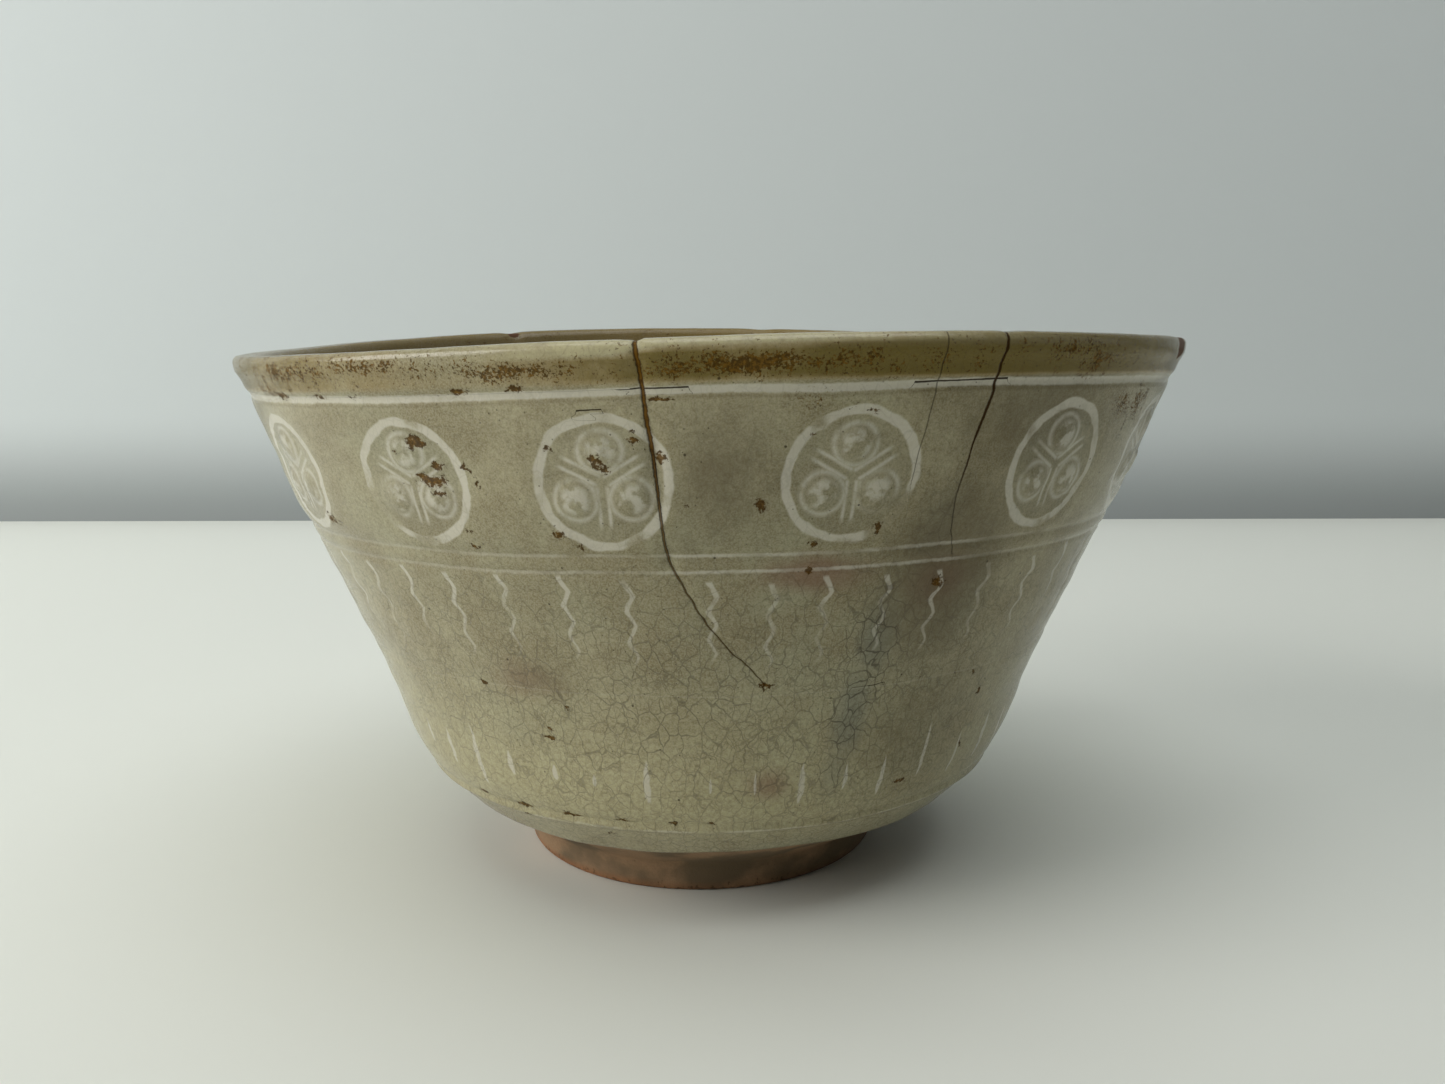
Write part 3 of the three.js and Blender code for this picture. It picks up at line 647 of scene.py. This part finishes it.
class Finish:
    """Adds a material's nodes one by one. A method's arguments are sockets or plain values."""

    def __init__(self, name):
        self.material = bpy.data.materials.new(name)
        self.material.use_nodes = True
        self.tree = self.material.node_tree
        self.shader = self.tree.nodes["Principled BSDF"]

    def node(self, kind, inputs=(), **settings):
        made = self.tree.nodes.new(kind)
        for key, value in settings.items():
            setattr(made, key, value)
        for key, value in dict(inputs).items():
            if isinstance(value, bpy.types.NodeSocket):
                self.tree.links.new(value, made.inputs[key])
            else:
                made.inputs[key].default_value = value
        return made

    def math(self, operation, *values):
        return self.node("ShaderNodeMath", enumerate(values), operation=operation).outputs[0]

    def add(self, a, b):
        return self.math("ADD", a, b)

    def minus(self, a, b):
        return self.math("SUBTRACT", a, b)

    def swing(self, value, reach):
        """From minus to plus the reach as the value goes from 0 to 1."""
        return self.math("MULTIPLY_ADD", value, 2 * reach, -reach)

    def times(self, *values):
        total = values[0]
        for value in values[1:]:
            total = self.math("MULTIPLY", total, value)
        return total

    def most(self, *values):
        total = values[0]
        for value in values[1:]:
            total = self.math("MAXIMUM", total, value)
        return total

    def ease(self, value, low, high, start=0.0, end=1.0):
        """From start to end, smoothly, as the value goes from low to high."""
        ends = {"Value": value, "From Min": low, "From Max": high, "To Min": start, "To Max": end}
        return self.node("ShaderNodeMapRange", ends, interpolation_type="SMOOTHSTEP").outputs["Result"]

    def line(self, value, half, soft):
        """1 within half of zero, soft at its edges."""
        return self.ease(self.minus(self.math("ABSOLUTE", value), half), -soft, soft, 1.0, 0.0)

    def noise(self, where, size, detail=2.0, rough=0.5):
        look = {"Vector": where, "Scale": 1 / size, "Detail": detail, "Roughness": rough}
        return self.node("ShaderNodeTexNoise", look).outputs

    def mix(self, share, a, b, blend="MIX"):
        made = self.node("ShaderNodeMix", data_type="RGBA", blend_type=blend)
        for key, value in ((0, share), (6, a), (7, b)):
            if isinstance(value, bpy.types.NodeSocket):
                self.tree.links.new(value, made.inputs[key])
            else:
                made.inputs[key].default_value = value
        return made.outputs[2]

    def parts(self, socket):
        return self.node("ShaderNodeSeparateXYZ", {0: socket}).outputs

    def map(self, name):
        return self.parts(self.node("ShaderNodeUVMap", uv_map=name).outputs[0])

    def stored(self, name):
        return self.node("ShaderNodeAttribute", attribute_name=name, attribute_type="GEOMETRY").outputs

    def vector(self, operation, a, b):
        return self.node("ShaderNodeVectorMath", {0: a, 1: b}, operation=operation).outputs[0]

    def result(self, name, value):
        if isinstance(value, bpy.types.NodeSocket):
            self.tree.links.new(value, self.shader.inputs[name])
        else:
            self.shader.inputs[name].default_value = value


def colour(red, green, blue):
    """A colour as seen on a screen, from 0 to 255, as Blender's linear one."""
    linear = [((c / 255 + 0.055) / 1.055) ** 2.4 if c > 10 else c / 255 / 12.92 for c in (red, green, blue)]
    return (*linear, 1.0)


def kept(f, worn, uneven):
    """Where the slip isn't worn off."""
    return f.ease(f.math("MULTIPLY_ADD", uneven, 0.9, f.minus(worn, 0.45)), 0.28, 0.75, 1.0, 0.12)


def roundel_slip(f, where, fade):
    """White slip of a roundel: its ring, and three lobes with double lines between them."""
    x, y = f.map("roundel")[0:2]
    rho = f.math("SQRT", f.add(f.times(x, x), f.times(y, y)))
    uneven = f.noise(where, 2.4, 2)[0]
    sway = f.swing(f.noise(where, 4.0, 1)[0], 0.4)
    off = f.minus(f.add(rho, sway), RING_RADIUS)
    ring = f.line(off, f.math("MULTIPLY_ADD", uneven, 0.7, 0.24), 0.17)
    ring = f.times(ring, f.ease(fade, 0.30, 0.5, 0.5, 1.0))
    third = 2 * math.pi / 3
    turn = f.math("ARCTAN2", x, y)
    lobe = f.minus(f.math("WRAP", f.add(turn, third / 2), third, 0.0), third / 2)
    px, py = f.times(rho, f.math("SINE", lobe)), f.times(rho, f.math("COSINE", lobe))
    px = f.add(px, f.times(sway, 0.8))
    dx, dy = f.times(px, 1 / 2.9), f.times(f.minus(py, 3.95), 1 / 2.85)
    oval = f.math("SQRT", f.add(f.times(dx, dx), f.times(dy, dy)))
    outline = f.times(f.line(f.minus(oval, 0.9), 0.1, 0.12), f.ease(uneven, 0.3, 0.5, 0.3, 1.0))
    blotch = f.times(f.ease(oval, 0.4, 0.85, 1.0, 0.0), f.ease(f.noise(where, 1.5, 3)[0], 0.4, 0.6))
    spoke = f.minus(f.math("WRAP", turn, third, 0.0), third / 2)
    sx, sy = f.times(rho, f.math("SINE", spoke)), f.times(rho, f.math("COSINE", spoke))
    pair = f.line(f.minus(f.math("ABSOLUTE", f.add(sx, f.times(sway, 0.5))), 0.6), 0.22, 0.2)
    pair = f.times(pair, f.ease(sy, 4.8, 6.2, 1.0, 0.0), f.ease(sy, 0.2, 0.7))
    pair = f.times(pair, f.ease(fade, 0.32, 0.55, 0.35, 1.0))
    inside = f.most(f.times(outline, 0.75), f.times(blotch, 0.85), f.times(pair, 0.9))
    return f.most(ring, f.times(inside, f.ease(rho, 6.7, 7.2, 1.0, 0.0))), f.ease(rho, 6.8, 7.6, 1.0, 0.0)


def stroke_slip(f, where, fade):
    """White slip of the wavy strokes and of the short ones under them."""
    x, t = f.map("wave")[0:2]
    bend = f.math("PINGPONG", f.times(t, float(WAVE_BENDS)), 1.0)
    bend = f.times(f.add(bend, f.ease(bend, 0.0, 1.0)), 0.5)
    wobble = f.swing(f.noise(where, 1.6, 2)[0], 0.35)
    x = f.minus(f.add(x, f.times(wobble, 0.8)), f.swing(bend, 0.48))
    slant = f.math("PINGPONG", f.times(t, 3.0), 0.5)
    half = f.add(f.math("MULTIPLY_ADD", slant, -0.10, 0.40), f.times(t, -0.2))
    wave = f.line(x, f.add(half, f.times(wobble, 0.35)), 0.13)
    wave = f.times(wave, f.ease(t, -0.02, 0.02), f.ease(t, 0.8, 1.0, 1.0, 0.0))
    wave = f.times(wave, f.ease(fade, 0.33, 0.52, 0.3, 1.0), f.ease(t, 0.1, 0.9, 1.0, 0.65))
    x, t = f.map("short")[0:2]
    taper = f.ease(f.math("ABSOLUTE", f.minus(t, 0.55)), 0.1, 0.56, 0.46, 0.08)
    short = f.line(f.add(x, wobble), taper, 0.15)
    short = f.times(short, f.ease(t, -0.02, 0.1), f.ease(t, 0.92, 1.02, 1.0, 0.0))
    return f.most(f.times(wave, 0.86), f.times(short, 0.85))


def line_slip(f, height, where, fade, line_fade):
    """White slip of the lines round the bowl, and the shade under the highest."""
    drift = f.swing(f.noise(where, 22, 1)[0], 0.45)
    ragged = f.swing(f.noise(where, 0.9, 2)[0], 0.15)
    level = f.add(f.add(height, drift), ragged)
    collar = f.line(f.minus(level, COLLAR_LINE), 0.45, 0.15)
    collar = f.times(collar, f.ease(fade, 0.28, 0.46, 0.5, 1.0))
    pair = f.most(*[f.line(f.minus(level, z), 0.2, 0.14) for z in (LOWER_LINE, UPPER_LINE)])
    pair = f.times(pair, line_fade, f.ease(fade, 0.3, 0.6, 0.35, 0.9))
    ridge_line = f.times(f.line(f.minus(level, KNEE_LINE), 0.13, 0.12), f.ease(fade, 0.35, 0.6, 0.1, 0.6))
    faint = f.times(f.line(f.minus(level, FAINT_LINE), 0.08, 0.1), 0.16)
    shade_line = f.line(f.minus(level, COLLAR_LINE - 0.8), 0.1, 0.25)
    return f.most(collar, pair, ridge_line, faint), shade_line


def crazing(f, where, craze_at, grey):
    """A coarse net of fine dark lines and a finer one in patches, drawn out up the wall."""
    bent = f.vector("ADD", where, f.vector("MULTIPLY", f.noise(where, 2.2, 2)[1], (1.4, 1.4, 1.4)))
    bent = f.vector("MULTIPLY", bent, CRAZE_STRETCH)
    nets = []
    for size, half in CRAZE_NETS:
        cell = f.node("ShaderNodeTexVoronoi", {"Vector": bent, "Scale": 1 / size}, feature="DISTANCE_TO_EDGE")
        nets.append(f.ease(cell.outputs["Distance"], 0.4 * half / size, (half + 0.06) / size, 1.0, 0.0))
    patchy = f.ease(f.noise(where, 5.5, 3, 0.6)[0], 0.36, 0.6, 0.1, 1.0)
    shown = f.ease(f.noise(where, 3.6, 2)[0], 0.3, 0.6, 0.45, 1.0)
    fine = f.times(nets[0], patchy, craze_at)
    net = f.most(f.times(fine, 0.6), f.times(nets[1], craze_at, shown))
    return f.math("MINIMUM", f.add(net, f.times(nets[1], grey, 0.7)), 1.0)


def scaled_place(f):
    """The place on the object in millimetres."""
    metres = f.node("ShaderNodeTexCoord").outputs["Object"]
    made = f.node("ShaderNodeVectorMath", {0: metres}, operation="SCALE")
    made.inputs["Scale"].default_value = 1 / MM
    return made.outputs[0]


def bare_clay(f, where, height, grain, colours):
    scorch = f.ease(f.noise(where, 9, 3)[0], 0.4, 0.62)
    clay = f.mix(scorch, colours["clay"], colours["clay_dark"])
    low_left = f.ease(f.parts(where)[0], -22.0, 8.0, 0.8, 0.25)
    clay = f.mix(f.times(f.ease(height, 0.2, 1.9, 1.0, 0.0), low_left), clay, colours["clay_edge"])
    clay = f.mix(f.ease(grain, 0.3, 0.75, 0.0, 0.4), clay, colours["clay_dark"])
    soot = f.ease(f.add(f.noise(where, 1.1, 4, 0.7)[0], f.ease(height, 0.0, 3.0, 0.07, -0.08)), 0.6, 0.68)
    return f.mix(f.times(soot, 0.75), clay, colours["rust_dark"])


def bowl_finish(colours):
    f = Finish("crazed_celadon_glaze")
    where = scaled_place(f)
    height, edge, inner = f.parts(f.stored("wall")["Vector"])[0:3]
    stains, marks = f.stored("stains"), f.stored("marks")
    rust_at, blush_at, grey_at = f.parts(stains["Vector"])[0:3]
    ochre_at = stains["Alpha"]
    tea_at, worn_at, speckle_at = f.parts(f.stored("wear")["Vector"])[0:3]
    hair_at, bare_at, craze_at = f.parts(marks["Vector"])[0:3]
    outside = f.minus(1.0, inner)
    across = f.parts(where)[0]

    broad = f.noise(where, BROAD, 2)[0]
    cloud = f.noise(where, CLOUD, 4, 0.6)[0]
    fade = f.noise(where, FADE, 3, 0.6)[0]
    uneven = f.noise(where, UNEVEN, 3, 0.6)[0]
    grain = f.noise(where, GRAIN, 3, 0.7)[0]
    fleck = f.noise(where, FLECK, 1)[0]

    # Glaze over grey body: buff to grey-green, clouded, streaked and grained.
    glaze = f.mix(f.ease(broad, 0.36, 0.64), colours["buff"], colours["green"])
    glaze = f.mix(f.ease(cloud, 0.35, 0.7), glaze, colours["deep"])
    low = f.times(outside, f.ease(height, 20, 44, 1.0, 0.0), f.ease(height, 12, 19, 0.15, 1.0))
    glaze = f.mix(f.times(low, f.ease(across, 8, 36, 0.72, 0.25)), glaze, colours["straw"])
    glaze = f.mix(f.times(inner, f.ease(cloud, 0.3, 0.6, 0.95, 0.65)), glaze, colours["inside"])
    glaze = f.mix(f.ease(grain, 0.32, 0.72, 0.0, 0.42), glaze, colours["dark"])
    glaze = f.mix(f.ease(fleck, 0.35, 0.65, 0.0, 0.22), glaze, colours["pale"])
    blush = f.ease(f.add(blush_at, f.swing(cloud, 0.25)), 0.12, 0.95)
    glaze = f.mix(f.times(blush, BLUSH_COVER), glaze, colours["blush"])
    grey = f.ease(f.add(grey_at, f.swing(cloud, 0.3)), 0.2, 0.9)
    glaze = f.mix(f.times(grey, GREY_COVER), glaze, colours["grey"])
    # Tea stains, and painted shade on the right side.
    tea = f.ease(f.add(tea_at, f.swing(uneven, 0.25)), 0.05, 0.8)
    glaze = f.mix(f.times(tea, TEA_AND_SHADE_COVER), glaze, colours["tea"])
    rim = f.times(ochre_at, f.ease(cloud, 0.25, 0.6, 0.7, 1.0))
    rim_colour = f.mix(f.ease(rim, 0.2, 0.75), colours["honey"], colours["ochre"])
    glaze = f.mix(f.ease(rim, 0.0, 0.7, 0.0, OCHRE_COVER), glaze, rim_colour)

    # Painted highlight: the lip is painted paler, in straw, at the front.
    top = f.minus(height, f.ease(across, -12, -4, 0.0, 0.8))
    painted_lip_highlight = f.times(outside, f.ease(top, 79.1, 79.8), f.ease(across, -32, -14))
    painted_lip_highlight = f.times(painted_lip_highlight, f.ease(across, 12, 50, 1.0, 0.0))
    glaze = f.mix(f.times(painted_lip_highlight, f.ease(uneven, 0.3, 0.6, 0.3, 0.75)), glaze, colours["straw"])

    # White slip under the glaze, thinner where it is worn.
    lines, shade_line = line_slip(f, height, where, fade, marks["Alpha"])
    roundel, ground = roundel_slip(f, where, fade)
    glaze = f.mix(f.times(ground, 0.14), glaze, colours["grey"])
    # Painted shade: a dark line just under the collar line.
    glaze = f.mix(f.times(shade_line, outside, 0.35), glaze, colours["dark"])
    slip = f.most(f.times(outside, lines), roundel, stroke_slip(f, where, fade))
    slip = f.times(slip, kept(f, worn_at, uneven), f.ease(grain, 0.25, 0.65, 0.78, 1.0))
    glaze = f.mix(f.times(slip, SLIP_COVER), glaze, colours["slip"])

    craze = crazing(f, where, craze_at, grey)
    glaze = f.mix(f.times(craze, CRAZE_COVER), glaze, colours["craze"])

    # Pinholes and iron specks.
    holes = []
    for spacing, size, soft in PINHOLES:
        hole = f.node("ShaderNodeTexVoronoi", {"Vector": where, "Scale": 1 / spacing})
        rare = f.ease(hole.outputs["Color"], NO_PINHOLE, NO_PINHOLE + 0.05)
        holes.append(f.times(f.ease(hole.outputs["Distance"], size, soft, 1.0, 0.0), rare))
    pin = f.most(holes[0], f.times(holes[1], 0.7))
    glaze = f.mix(f.times(pin, PINHOLE_COVER), glaze, colours["speck"])

    # Rust and soil in the flaws, ragged at the edges, and specks through the ochre of the rim.
    ragged = f.noise(where, RAGGED, 4, 0.72)[0]
    dots = f.noise(where, DOTS, 3, 0.7)[0]
    rust = f.ease(f.add(rust_at, f.swing(ragged, 0.95)), 0.45, 0.62)
    dusting = f.add(f.times(ochre_at, outside, 0.12), f.times(speckle_at, 0.85))
    dusting = f.add(dusting, f.add(f.swing(dots, 1.5), f.swing(uneven, 0.7)))
    dusting = f.times(f.ease(dusting, 0.42, 0.62), f.ease(f.add(ochre_at, speckle_at), 0.02, 0.2))
    rust_colour = f.mix(f.ease(grain, 0.35, 0.6), colours["rust"], colours["rust_dark"])
    glaze = f.mix(f.times(rust, RUST_COVER), glaze, rust_colour)
    glaze = f.mix(f.times(dusting, SPECKLE_COVER), glaze, rust_colour)

    # Cracks, filled with old brown soil between dark edges, and hairlines.
    shake = f.swing(f.noise(where, SHAKE, 3, 0.6)[0], 0.6)
    main, side, thin = f.parts(f.stored("cracks")["Vector"])[0:3]
    seams = [f.line(f.add(r, shake), 0.85, 0.35) for r in (main, side, thin)]
    filling = f.most(f.line(f.add(main, f.add(shake, 0.25)), 0.3, 0.35), f.ease(height, 66, 70))
    filling = f.times(filling, f.line(f.add(main, shake), 0.45, 0.5), f.ease(ragged, 0.32, 0.54, 0.3, 1.0))
    filling = f.most(filling, f.times(seams[1], f.ease(height, 60, 66, 0.0, 0.15)))
    hairline = f.line(f.add(hair_at, shake), 1.2, 0.5)
    halo = f.times(f.line(main, 1.2, 1.6), f.ease(ragged, 0.42, 0.6), 0.4)
    long_seam = f.times(seams[0], f.ease(height, 52, 72, 0.82, 1.0))
    side_seam = f.times(seams[1], f.ease(height, 60, 68, 0.6, 1.0))
    crack = f.most(long_seam, side_seam, f.times(seams[2], 0.6), f.times(hairline, 0.95), halo)
    crack_colour = f.mix(filling, colours["soil_dark"], colours["soil"])
    glaze = f.mix(f.times(crack, CRACK_COVER), glaze, crack_colour)

    # Bare clay below the glaze's edge, and where flakes are gone from the lip.
    bare = f.ease(f.add(bare_at, f.swing(ragged, 0.3)), 0.55, 0.75)
    glaze = f.mix(f.times(bare, BARE_COVER), glaze, colours["bare"])
    lick = f.swing(f.noise(where, LICK, 3)[0], 0.4)
    glazed = f.ease(f.add(edge, lick), -0.12, 0.12)
    clayed = f.minus(1.0, glazed)
    f.result("Base Color", f.mix(glazed, bare_clay(f, where, height, grain, colours), glaze))

    dull = f.most(f.times(rust, 0.9), crack, f.times(pin, 0.8), bare, f.times(dusting, 0.85))
    gloss = f.ease(across, -45, 25, 0.42, 0.18)
    lip_gloss = f.times(outside, f.ease(height, 79.0, 80.0, 0.0, 0.55), f.ease(across, -40, -18, 0.15, 1.0))
    gloss = f.most(gloss, lip_gloss)
    f.result("Specular IOR Level", f.times(gloss, f.ease(dull, 0.0, 1.0, 1.0, 0.1)))
    rough = f.math("MULTIPLY_ADD", grain, 0.12, GLAZE_ROUGHNESS)
    rough = f.add(rough, f.add(f.times(dull, 0.3), f.times(ochre_at, -0.06)))
    rough = f.add(rough, f.times(craze, 0.12))
    f.result("Roughness", f.add(f.times(glazed, rough), f.times(clayed, CLAY_ROUGHNESS)))
    f.result("IOR", GLASS_IOR)

    # Fine relief that the mesh doesn't hold.
    relief = f.add(f.times(cloud, 0.18), f.times(grain, 0.05))
    relief = f.add(relief, f.times(uneven, 0.06))
    relief = f.add(relief, f.times(craze, -0.06))
    relief = f.add(relief, f.times(f.most(crack, pin), -0.3))
    relief = f.add(relief, f.times(f.most(rust, dusting), -0.05))
    clay_grain = f.times(f.noise(where, 0.5, 4, 0.7)[0], 0.22)
    relief = f.add(f.times(glazed, f.add(relief, 0.1)), f.times(clayed, clay_grain))
    bump = f.node("ShaderNodeBump", {"Strength": FINE_RELIEF, "Distance": MM, "Height": relief})
    f.result("Normal", bump.outputs[0])
    return f.material


FLOOR_COLOUR, WALL_COLOUR = colour(222, 224, 216), colour(204, 210, 210)
# The painted shade on the wall just above the floor: its colour, and the height it fades out by.
WALL_PAINTED_SHADE_COLOUR, WALL_SHADE_HEIGHT = colour(146, 151, 151), 0.05


def plain_finish(name, shade):
    f = Finish(name)
    f.result("Base Color", shade)
    f.result("Roughness", STAGE_ROUGHNESS)
    return f


def wall_finish():
    """The pale wall behind, with painted shade just above the floor."""
    f = plain_finish("grey_wall", WALL_COLOUR)
    height = f.parts(f.node("ShaderNodeTexCoord").outputs["Object"])[2]
    f.result("Base Color", f.mix(f.ease(height, 0.0, WALL_SHADE_HEIGHT), WALL_PAINTED_SHADE_COLOUR, WALL_COLOUR))
    return f.material


# What a user may change

def shade(name, text, red, green, blue):
    return bpy.props.FloatVectorProperty(name=name, description=text, subtype="COLOR", size=4, min=0, max=1,
                                         default=colour(red, green, blue))


def small_size(name, text, metres):
    limits = {"min": 0, "soft_max": 0.002, "precision": 5}
    return bpy.props.FloatProperty(name=name, description=text, default=metres, unit="LENGTH", **limits)


class BowlSizes(bpy.types.PropertyGroup):
    crack_depth: small_size("Crack depth", "How deep the longest crack's groove is", 0.00042)
    inlay_depth: small_size("Inlay depth", "How deep the slip-filled lines and rings lie", 0.00016)
    glaze_roll: small_size("Glaze roll", "How thick the glaze hangs above the foot", 0.0003)


class BowlColours(bpy.types.PropertyGroup):
    buff: shade("Buff glaze", "Glaze where it is warm", 166, 158, 126)
    green: shade("Green glaze", "Glaze where it is greenish", 154, 150, 120)
    deep: shade("Deep glaze", "Glaze where it lies thick", 140, 130, 98)
    # straw also paints the highlight on the front of the lip.
    straw: shade("Straw glaze", "Glaze low on the wall", 184, 176, 136)
    inside: shade("Inside", "Glaze inside the bowl", 78, 63, 35)
    # dark also paints the shade line under the collar line.
    dark: shade("Dark grain", "Fine dark grain of the body", 100, 86, 54)
    pale: shade("Pale grain", "Fine pale grain of the glaze", 196, 191, 168)
    blush: shade("Blush", "Pink to violet flush", 118, 80, 62)
    grey: shade("Grey", "Blue-grey clouds", 122, 124, 110)
    # tea also paints shade on the right side of the bowl.
    tea: shade("Tea stain", "Brown stain that has crept in", 84, 72, 46)
    honey: shade("Honey", "Stained glaze at the rim, where it is light", 150, 126, 72)
    ochre: shade("Ochre", "Stained glaze at the rim", 105, 89, 29)
    slip: shade("Slip", "White inlay under the glaze", 208, 203, 188)
    craze: shade("Crazing", "Lines of the crazing", 56, 45, 28)
    speck: shade("Specks", "Iron specks and pinholes", 48, 36, 20)
    rust: shade("Rust", "Brown stains", 110, 77, 20)
    rust_dark: shade("Dark rust", "Stains at their darkest", 64, 42, 8)
    soil: shade("Soil", "Old soil in the cracks", 106, 73, 20)
    soil_dark: shade("Dark soil", "Soil deep in the cracks", 30, 15, 4)
    clay: shade("Clay", "Bare clay of the foot", 150, 120, 90)
    clay_dark: shade("Dark clay", "Clay that fired dark", 104, 88, 66)
    clay_edge: shade("Foot's edge", "Orange edge of the foot", 152, 98, 58)
    bare: shade("Flaked rim", "Clay where the lip has flaked", 84, 52, 42)


class StageSettings(bpy.types.PropertyGroup):
    floor_size: bpy.props.FloatProperty(
        name="Floor size", description="Width of the floor", default=3.0, unit="LENGTH")
    wall_gap: bpy.props.FloatProperty(
        name="Wall distance", description="From the bowl back to the wall", default=0.333, unit="LENGTH")
    focal_length: bpy.props.FloatProperty(
        name="Focal length", description="Of the camera", default=29.9, min=5, unit="CAMERA")


class BOWL_OT_build(bpy.types.Operator):
    """Build the glazed bowl with its inlay, cracks and stains"""
    bl_idname = "bowl.build"
    bl_label = "Build Bowl"

    def execute(self, context):
        if context.mode != "OBJECT":
            raise RuntimeError("the bowl is built from object mode")
        bpy.ops.object.select_all(action="DESELECT")
        piece = make_bowl(context.scene.bowl_sizes)
        chosen = context.scene.bowl_colours
        names = BowlColours.__annotations__.keys()
        piece.data.materials.append(bowl_finish({name: tuple(getattr(chosen, name)) for name in names}))
        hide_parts("bowl")
        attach(piece, "root")
        return {"FINISHED"}


# Each lamp's name, place, the place it faces, its size, power and tint.
LAMPS = [
    ("window", (-1.0, -0.36, 0.5), (0, 0, 0.05), (0.8, 0.7), 10.5, (1.0, 0.99, 0.96)),
    ("ceiling", (0.1, -0.2, 1.4), (0, 0, 0.0), (1.4, 1.2), 10.5, (0.97, 0.99, 1.0)),
]
# How strongly the room lights the bowl, and how strongly it is seen and mirrored.
ROOM_LIGHT, ROOM_SEEN, ROOM_COLOUR = 0.07, 0.7, colour(206, 212, 212)
CAMERA_AT, CAMERA_PITCH, CAMERA_ROLL = (0.001855, -0.19697, 0.0817), 9.82, -0.12
SENSOR_WIDTH, NEAREST_SEEN = 36, 0.01


def area_lamp(name, place_at, look_at, size, power, tint):
    lamp = bpy.data.lights.new(name, "AREA")
    lamp.shape, lamp.size, lamp.size_y, lamp.energy, lamp.color = "RECTANGLE", size[0], size[1], power, tint
    obj = bpy.data.objects.new(name, lamp)
    bpy.context.scene.collection.objects.link(obj)
    obj.location = place_at
    obj.rotation_euler = (Vector(look_at) - Vector(place_at)).to_track_quat("-Z", "Y").to_euler()


def light_room(world):
    """A dim even room that is seen, and mirrored, as a pale one."""
    world.use_nodes = True
    tree = world.node_tree
    room = tree.nodes["Background"]
    room.inputs["Color"].default_value = ROOM_COLOUR
    ray = tree.nodes.new("ShaderNodeLightPath")
    seen = tree.nodes.new("ShaderNodeMath")
    seen.operation = "MAXIMUM"
    also = tree.nodes.new("ShaderNodeMath")
    also.operation = "MAXIMUM"
    tree.links.new(ray.outputs["Is Camera Ray"], seen.inputs[0])
    tree.links.new(ray.outputs["Is Glossy Ray"], seen.inputs[1])
    tree.links.new(seen.outputs[0], also.inputs[0])
    tree.links.new(ray.outputs["Is Transmission Ray"], also.inputs[1])
    strength = tree.nodes.new("ShaderNodeMapRange")
    strength.inputs["To Min"].default_value = ROOM_LIGHT
    strength.inputs["To Max"].default_value = ROOM_SEEN
    tree.links.new(also.outputs[0], strength.inputs["Value"])
    tree.links.new(strength.outputs["Result"], room.inputs["Strength"])


class BOWL_OT_stage(bpy.types.Operator):
    """Lay the floor, stand the wall behind, and set the lamps and the camera"""
    bl_idname = "bowl.stage"
    bl_label = "Set Stage"

    def execute(self, context):
        settings = context.scene.bowl_stage
        bpy.ops.object.select_all(action="DESELECT")
        size, gap = settings.floor_size, settings.wall_gap
        bpy.ops.mesh.primitive_plane_add(size=size, location=(0, gap - size / 2, 0))
        bpy.ops.object.transform_apply(location=True, rotation=True, scale=True)
        floor = context.object
        floor.name = "floor"
        floor.data.materials.append(plain_finish("pale_board", FLOOR_COLOUR).material)
        bpy.ops.mesh.primitive_plane_add(size=size, location=(0, gap, size / 2), rotation=(math.pi / 2, 0, 0))
        bpy.ops.object.transform_apply(location=True, rotation=True, scale=True)
        wall = context.object
        wall.name = "backdrop"
        wall.data.materials.append(wall_finish())
        for lamp in LAMPS:
            area_lamp(*lamp)
        world = bpy.data.worlds.new("room")
        context.scene.world = world
        light_room(world)
        view = bpy.data.cameras.new("camera")
        view.sensor_width, view.lens, view.clip_start = SENSOR_WIDTH, settings.focal_length, NEAREST_SEEN
        camera = bpy.data.objects.new("camera", view)
        context.scene.collection.objects.link(camera)
        pitch, roll = math.radians(CAMERA_PITCH), math.radians(CAMERA_ROLL)
        aim = Matrix.Rotation(math.pi / 2 - pitch, 4, "X") @ Matrix.Rotation(roll, 4, "Z")
        camera.matrix_world = Matrix.Translation(CAMERA_AT) @ aim
        context.scene.camera = camera
        context.scene.view_settings.view_transform = "Standard"
        return {"FINISHED"}


class BOWL_PT_panel(bpy.types.Panel):
    """Lists what the add-on builds and the colours it uses"""
    bl_label = "Bowl"
    bl_idname = "BOWL_PT_panel"
    bl_space_type = "VIEW_3D"
    bl_region_type = "UI"
    bl_category = "Bowl"

    def draw(self, context):
        layout = self.layout
        layout.operator(BOWL_OT_build.bl_idname)
        layout.operator(BOWL_OT_stage.bl_idname)
        scene = context.scene
        for settings in (scene.bowl_sizes, scene.bowl_colours, scene.bowl_stage):
            for name in settings.__annotations__:
                layout.prop(settings, name)


CLASSES = (BowlSizes, BowlColours, StageSettings, BOWL_OT_build, BOWL_OT_stage, BOWL_PT_panel)


def register():
    for cls in CLASSES:
        bpy.utils.register_class(cls)
    bpy.types.Scene.bowl_sizes = bpy.props.PointerProperty(type=BowlSizes)
    bpy.types.Scene.bowl_colours = bpy.props.PointerProperty(type=BowlColours)
    bpy.types.Scene.bowl_stage = bpy.props.PointerProperty(type=StageSettings)


def unregister():
    del bpy.types.Scene.bowl_stage
    del bpy.types.Scene.bowl_colours
    del bpy.types.Scene.bowl_sizes
    for cls in reversed(CLASSES):
        bpy.utils.unregister_class(cls)


def main():
    register()
    bpy.ops.bowl.build()
    bpy.ops.bowl.stage()
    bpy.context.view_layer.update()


if __name__ == "__main__":
    main()
